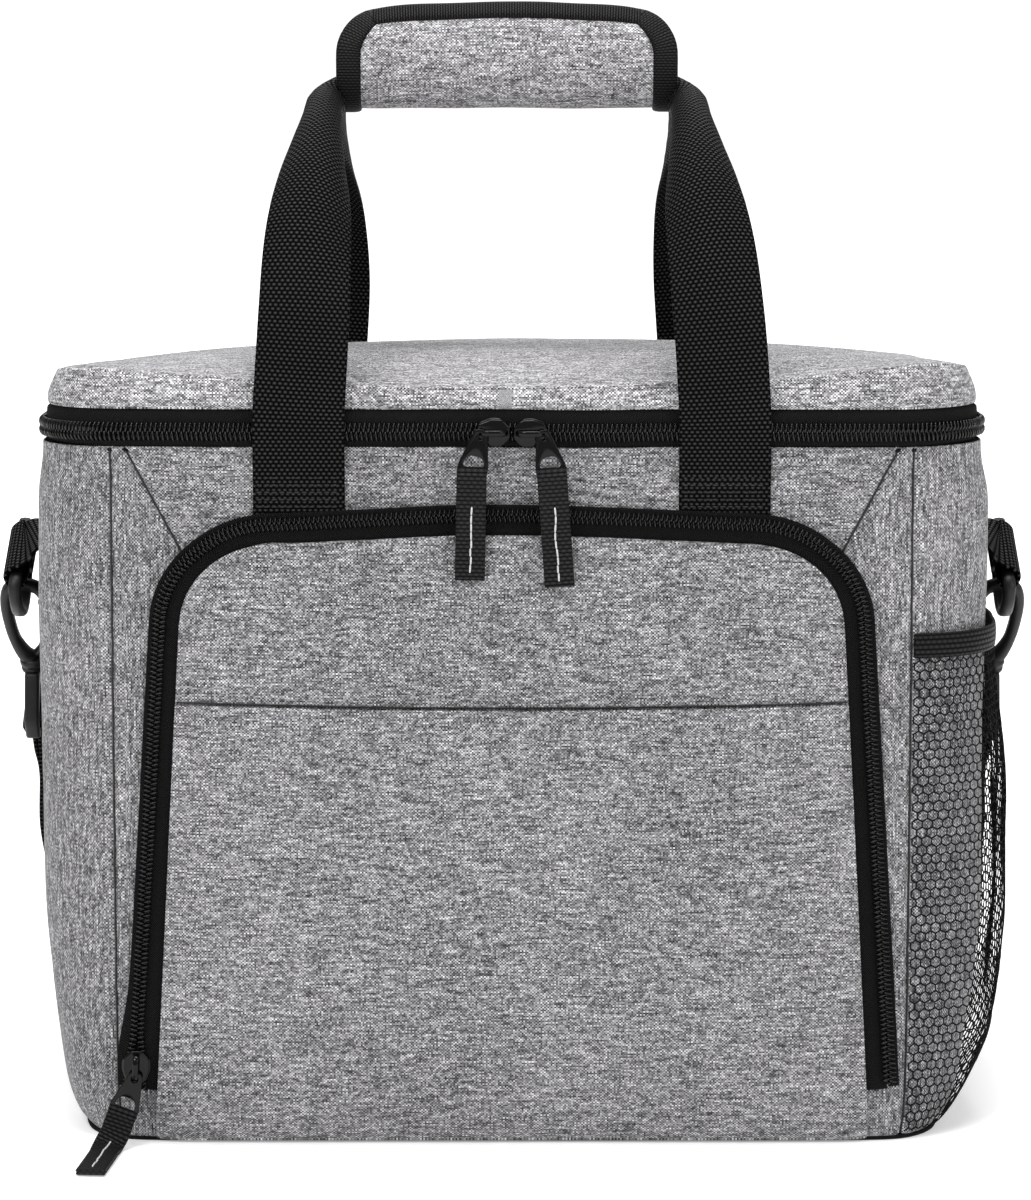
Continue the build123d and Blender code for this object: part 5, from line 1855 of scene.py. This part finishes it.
def shoulder_strap(bar):
    """The strap, hanging in one loop behind the bag; each end is folded round a buckle's bar."""
    bottom = -STRAP_REACH
    r = 45.0
    half = [(0.0, bottom), (RING_X - r - 40, bottom), (RING_X - r, bottom)]
    half += [(RING_X - r + r * math.sin(a), bottom + r - r * math.cos(a)) for a in np.radians([22, 45, 68])]
    half += [(RING_X, bottom + r), (RING_X + 1.5, bottom + 75), (RING_X - 1.0, bottom + 110), (RING_X, bar - 14),
             (RING_X + 0.4, bar - 5), (RING_X + 3.4, bar - 1.0), (RING_X + 3.9, bar + 3.2), (RING_X + 0.5, bar + 6.0), (RING_X - 3.2, bar + 3.6),
             (RING_X - 3.4, bar - 1.0), (RING_X - 2.2, bar - 6), (RING_X - 2.0, bar - 22), (RING_X - 2.1, bar - 34)]
    right = smooth_path([(x, u, 0.0) for x, u in half], 3.0)
    line = np.vstack([right[::-1] * [-1, 1, 1], right[1:]])
    world = np.array([strap_spot(x, u, 0.8 * ripple(x, u, 0, 70, 2.0) * (u > bottom + 20)) for x, u, _ in line])
    piece = add_parts("shoulder_strap_band", [ribbon(world, STRAP_FACE, 19.0, WEB_T, columns=10)], WEBBING_FINE)
    settle(piece, "shoulder_strap", "webbing", "shoulder_strap_webbing")


def adjuster():
    """A moulded three-bar slide on the strap's run behind the bag."""
    low, high = box_mm("strap_adjuster")
    x = (low[0] + high[0]) / 2
    length, width = 30.0, 46.0
    outer = rounded([(-length / 2, -width / 2), (length / 2, -width / 2), (length / 2, width / 2), (-length / 2, width / 2)], 4)
    holes = [rounded([(a - 3.4, -19.5), (a + 3.4, -19.5), (a + 3.4, 19.5), (a - 3.4, 19.5)], 1.2)[::-1] for a in (-7.5, 7.5)]
    parts = []
    for out in (1, -1):
        part = plate(outer, holes, 2.6, 0.8)
        spot = strap_spot(x, -STRAP_REACH + out * 2.4)
        parts.append(placed(part, spot, (1, 0, 0), STRAP_FACE))
    for side in (-1, 1):
        line = [strap_spot(x + dx, -STRAP_REACH, side * 21.5) for dx in (-13, -5, 5, 13)]
        parts.append(tube(line, 1.9, 10, side_way=STRAP_FACE, flat=0.9, square=3))
    settle(add_parts("strap_slide", parts, PLASTIC), "adjuster", "black_plastic", "strap_adjuster")


for side_sign, side_word in ((-1, "left"), (1, "right")):
    side_tab(side_sign, side_word)
    ring(side_sign, side_word)
    buckle_top = snap_hook(side_sign, side_word)
    strap_buckle(side_sign, side_word, buckle_top)
shoulder_strap(buckle_top - 23.6)
adjuster()


# ---------------------------------------------------------------- studio
def studio():
    floor = bpy.data.meshes.new("floor")
    size = 12.0
    corners = [(-size, -size, 0.0), (size, -size, 0.0), (size, size, 0.0), (-size, size, 0.0)]
    floor.from_pydata(corners, [], [(0, 1, 2, 3)])
    n = Nodes("studio_paper")
    paper = n.noise(n.place(), 0.01, 2.0)
    n.bump(paper, 0.2, 0.1)
    n.bsdf.inputs["Emission Color"].default_value = (1, 1, 1, 1)
    away = n.node("VectorMath", operation="LENGTH")
    n.link(n.place(), away.inputs[0])
    glow = n.node("MapRange", interpolation_type="SMOOTHSTEP")
    n.link(away.outputs["Value"], glow.inputs["Value"])
    for socket, value in (("From Min", 700), ("From Max", 2600), ("To Min", 0.34), ("To Max", 1.05)):
        glow.inputs[socket].default_value = value
    n.link(glow.outputs["Result"], n.bsdf.inputs["Emission Strength"])
    floor.materials.append(n.finish(n.ramp(paper, [(0.3, 0.88), (0.7, 0.92)]), 0.8))
    backdrop = bpy.data.objects.new("studio_floor", floor)
    bpy.context.scene.collection.objects.link(backdrop)
    lights = [
        ("key", (-1.0, -1.9, 2.4), 1.0, 38),
        ("fill", (1.8, -2.0, 1.4), 1.2, 18),
        ("top", (0.1, -0.1, 2.4), 1.2, 46),
        ("back", (0.0, 1.6, 1.6), 1.6, 8),
    ]
    for name, place, side, power in lights:
        lamp = bpy.data.lights.new(name, "AREA")
        lamp.size = side
        lamp.energy = power
        holder = bpy.data.objects.new(name, lamp)
        holder.location = place
        aim = Vector((0, 0, 0.25)) - Vector(place)
        holder.rotation_euler = aim.to_track_quat("-Z", "Y").to_euler()
        bpy.context.scene.collection.objects.link(holder)
    world = bpy.data.worlds.new("studio")
    world.use_nodes = True
    sky = world.node_tree.nodes["Background"]
    sky.inputs[0].default_value = (1, 1, 1, 1)
    path = world.node_tree.nodes.new("ShaderNodeLightPath")
    strength = world.node_tree.nodes.new("ShaderNodeMath")
    strength.operation = "MULTIPLY_ADD"  # dimmer as a light than it looks behind the bag
    world.node_tree.links.new(path.outputs["Is Camera Ray"], strength.inputs[0])
    strength.inputs[1].default_value = 0.6
    strength.inputs[2].default_value = 0.5
    world.node_tree.links.new(strength.outputs[0], sky.inputs[1])
    bpy.context.scene.world = world
    bpy.context.scene.view_settings.view_transform = "Standard"


def camera():
    """The photograph's viewpoint: in front, a little above the bag's handles."""
    lens = bpy.data.cameras.new("camera")
    lens.lens = 126.8
    lens.sensor_width = 36.0
    holder = bpy.data.objects.new("camera", lens)
    holder.location = (0.0015, -1.86, 0.4507)
    holder.rotation_euler = (math.radians(90 - 7.2), 0, 0)
    bpy.context.scene.collection.objects.link(holder)
    bpy.context.scene.camera = holder


studio()
camera()
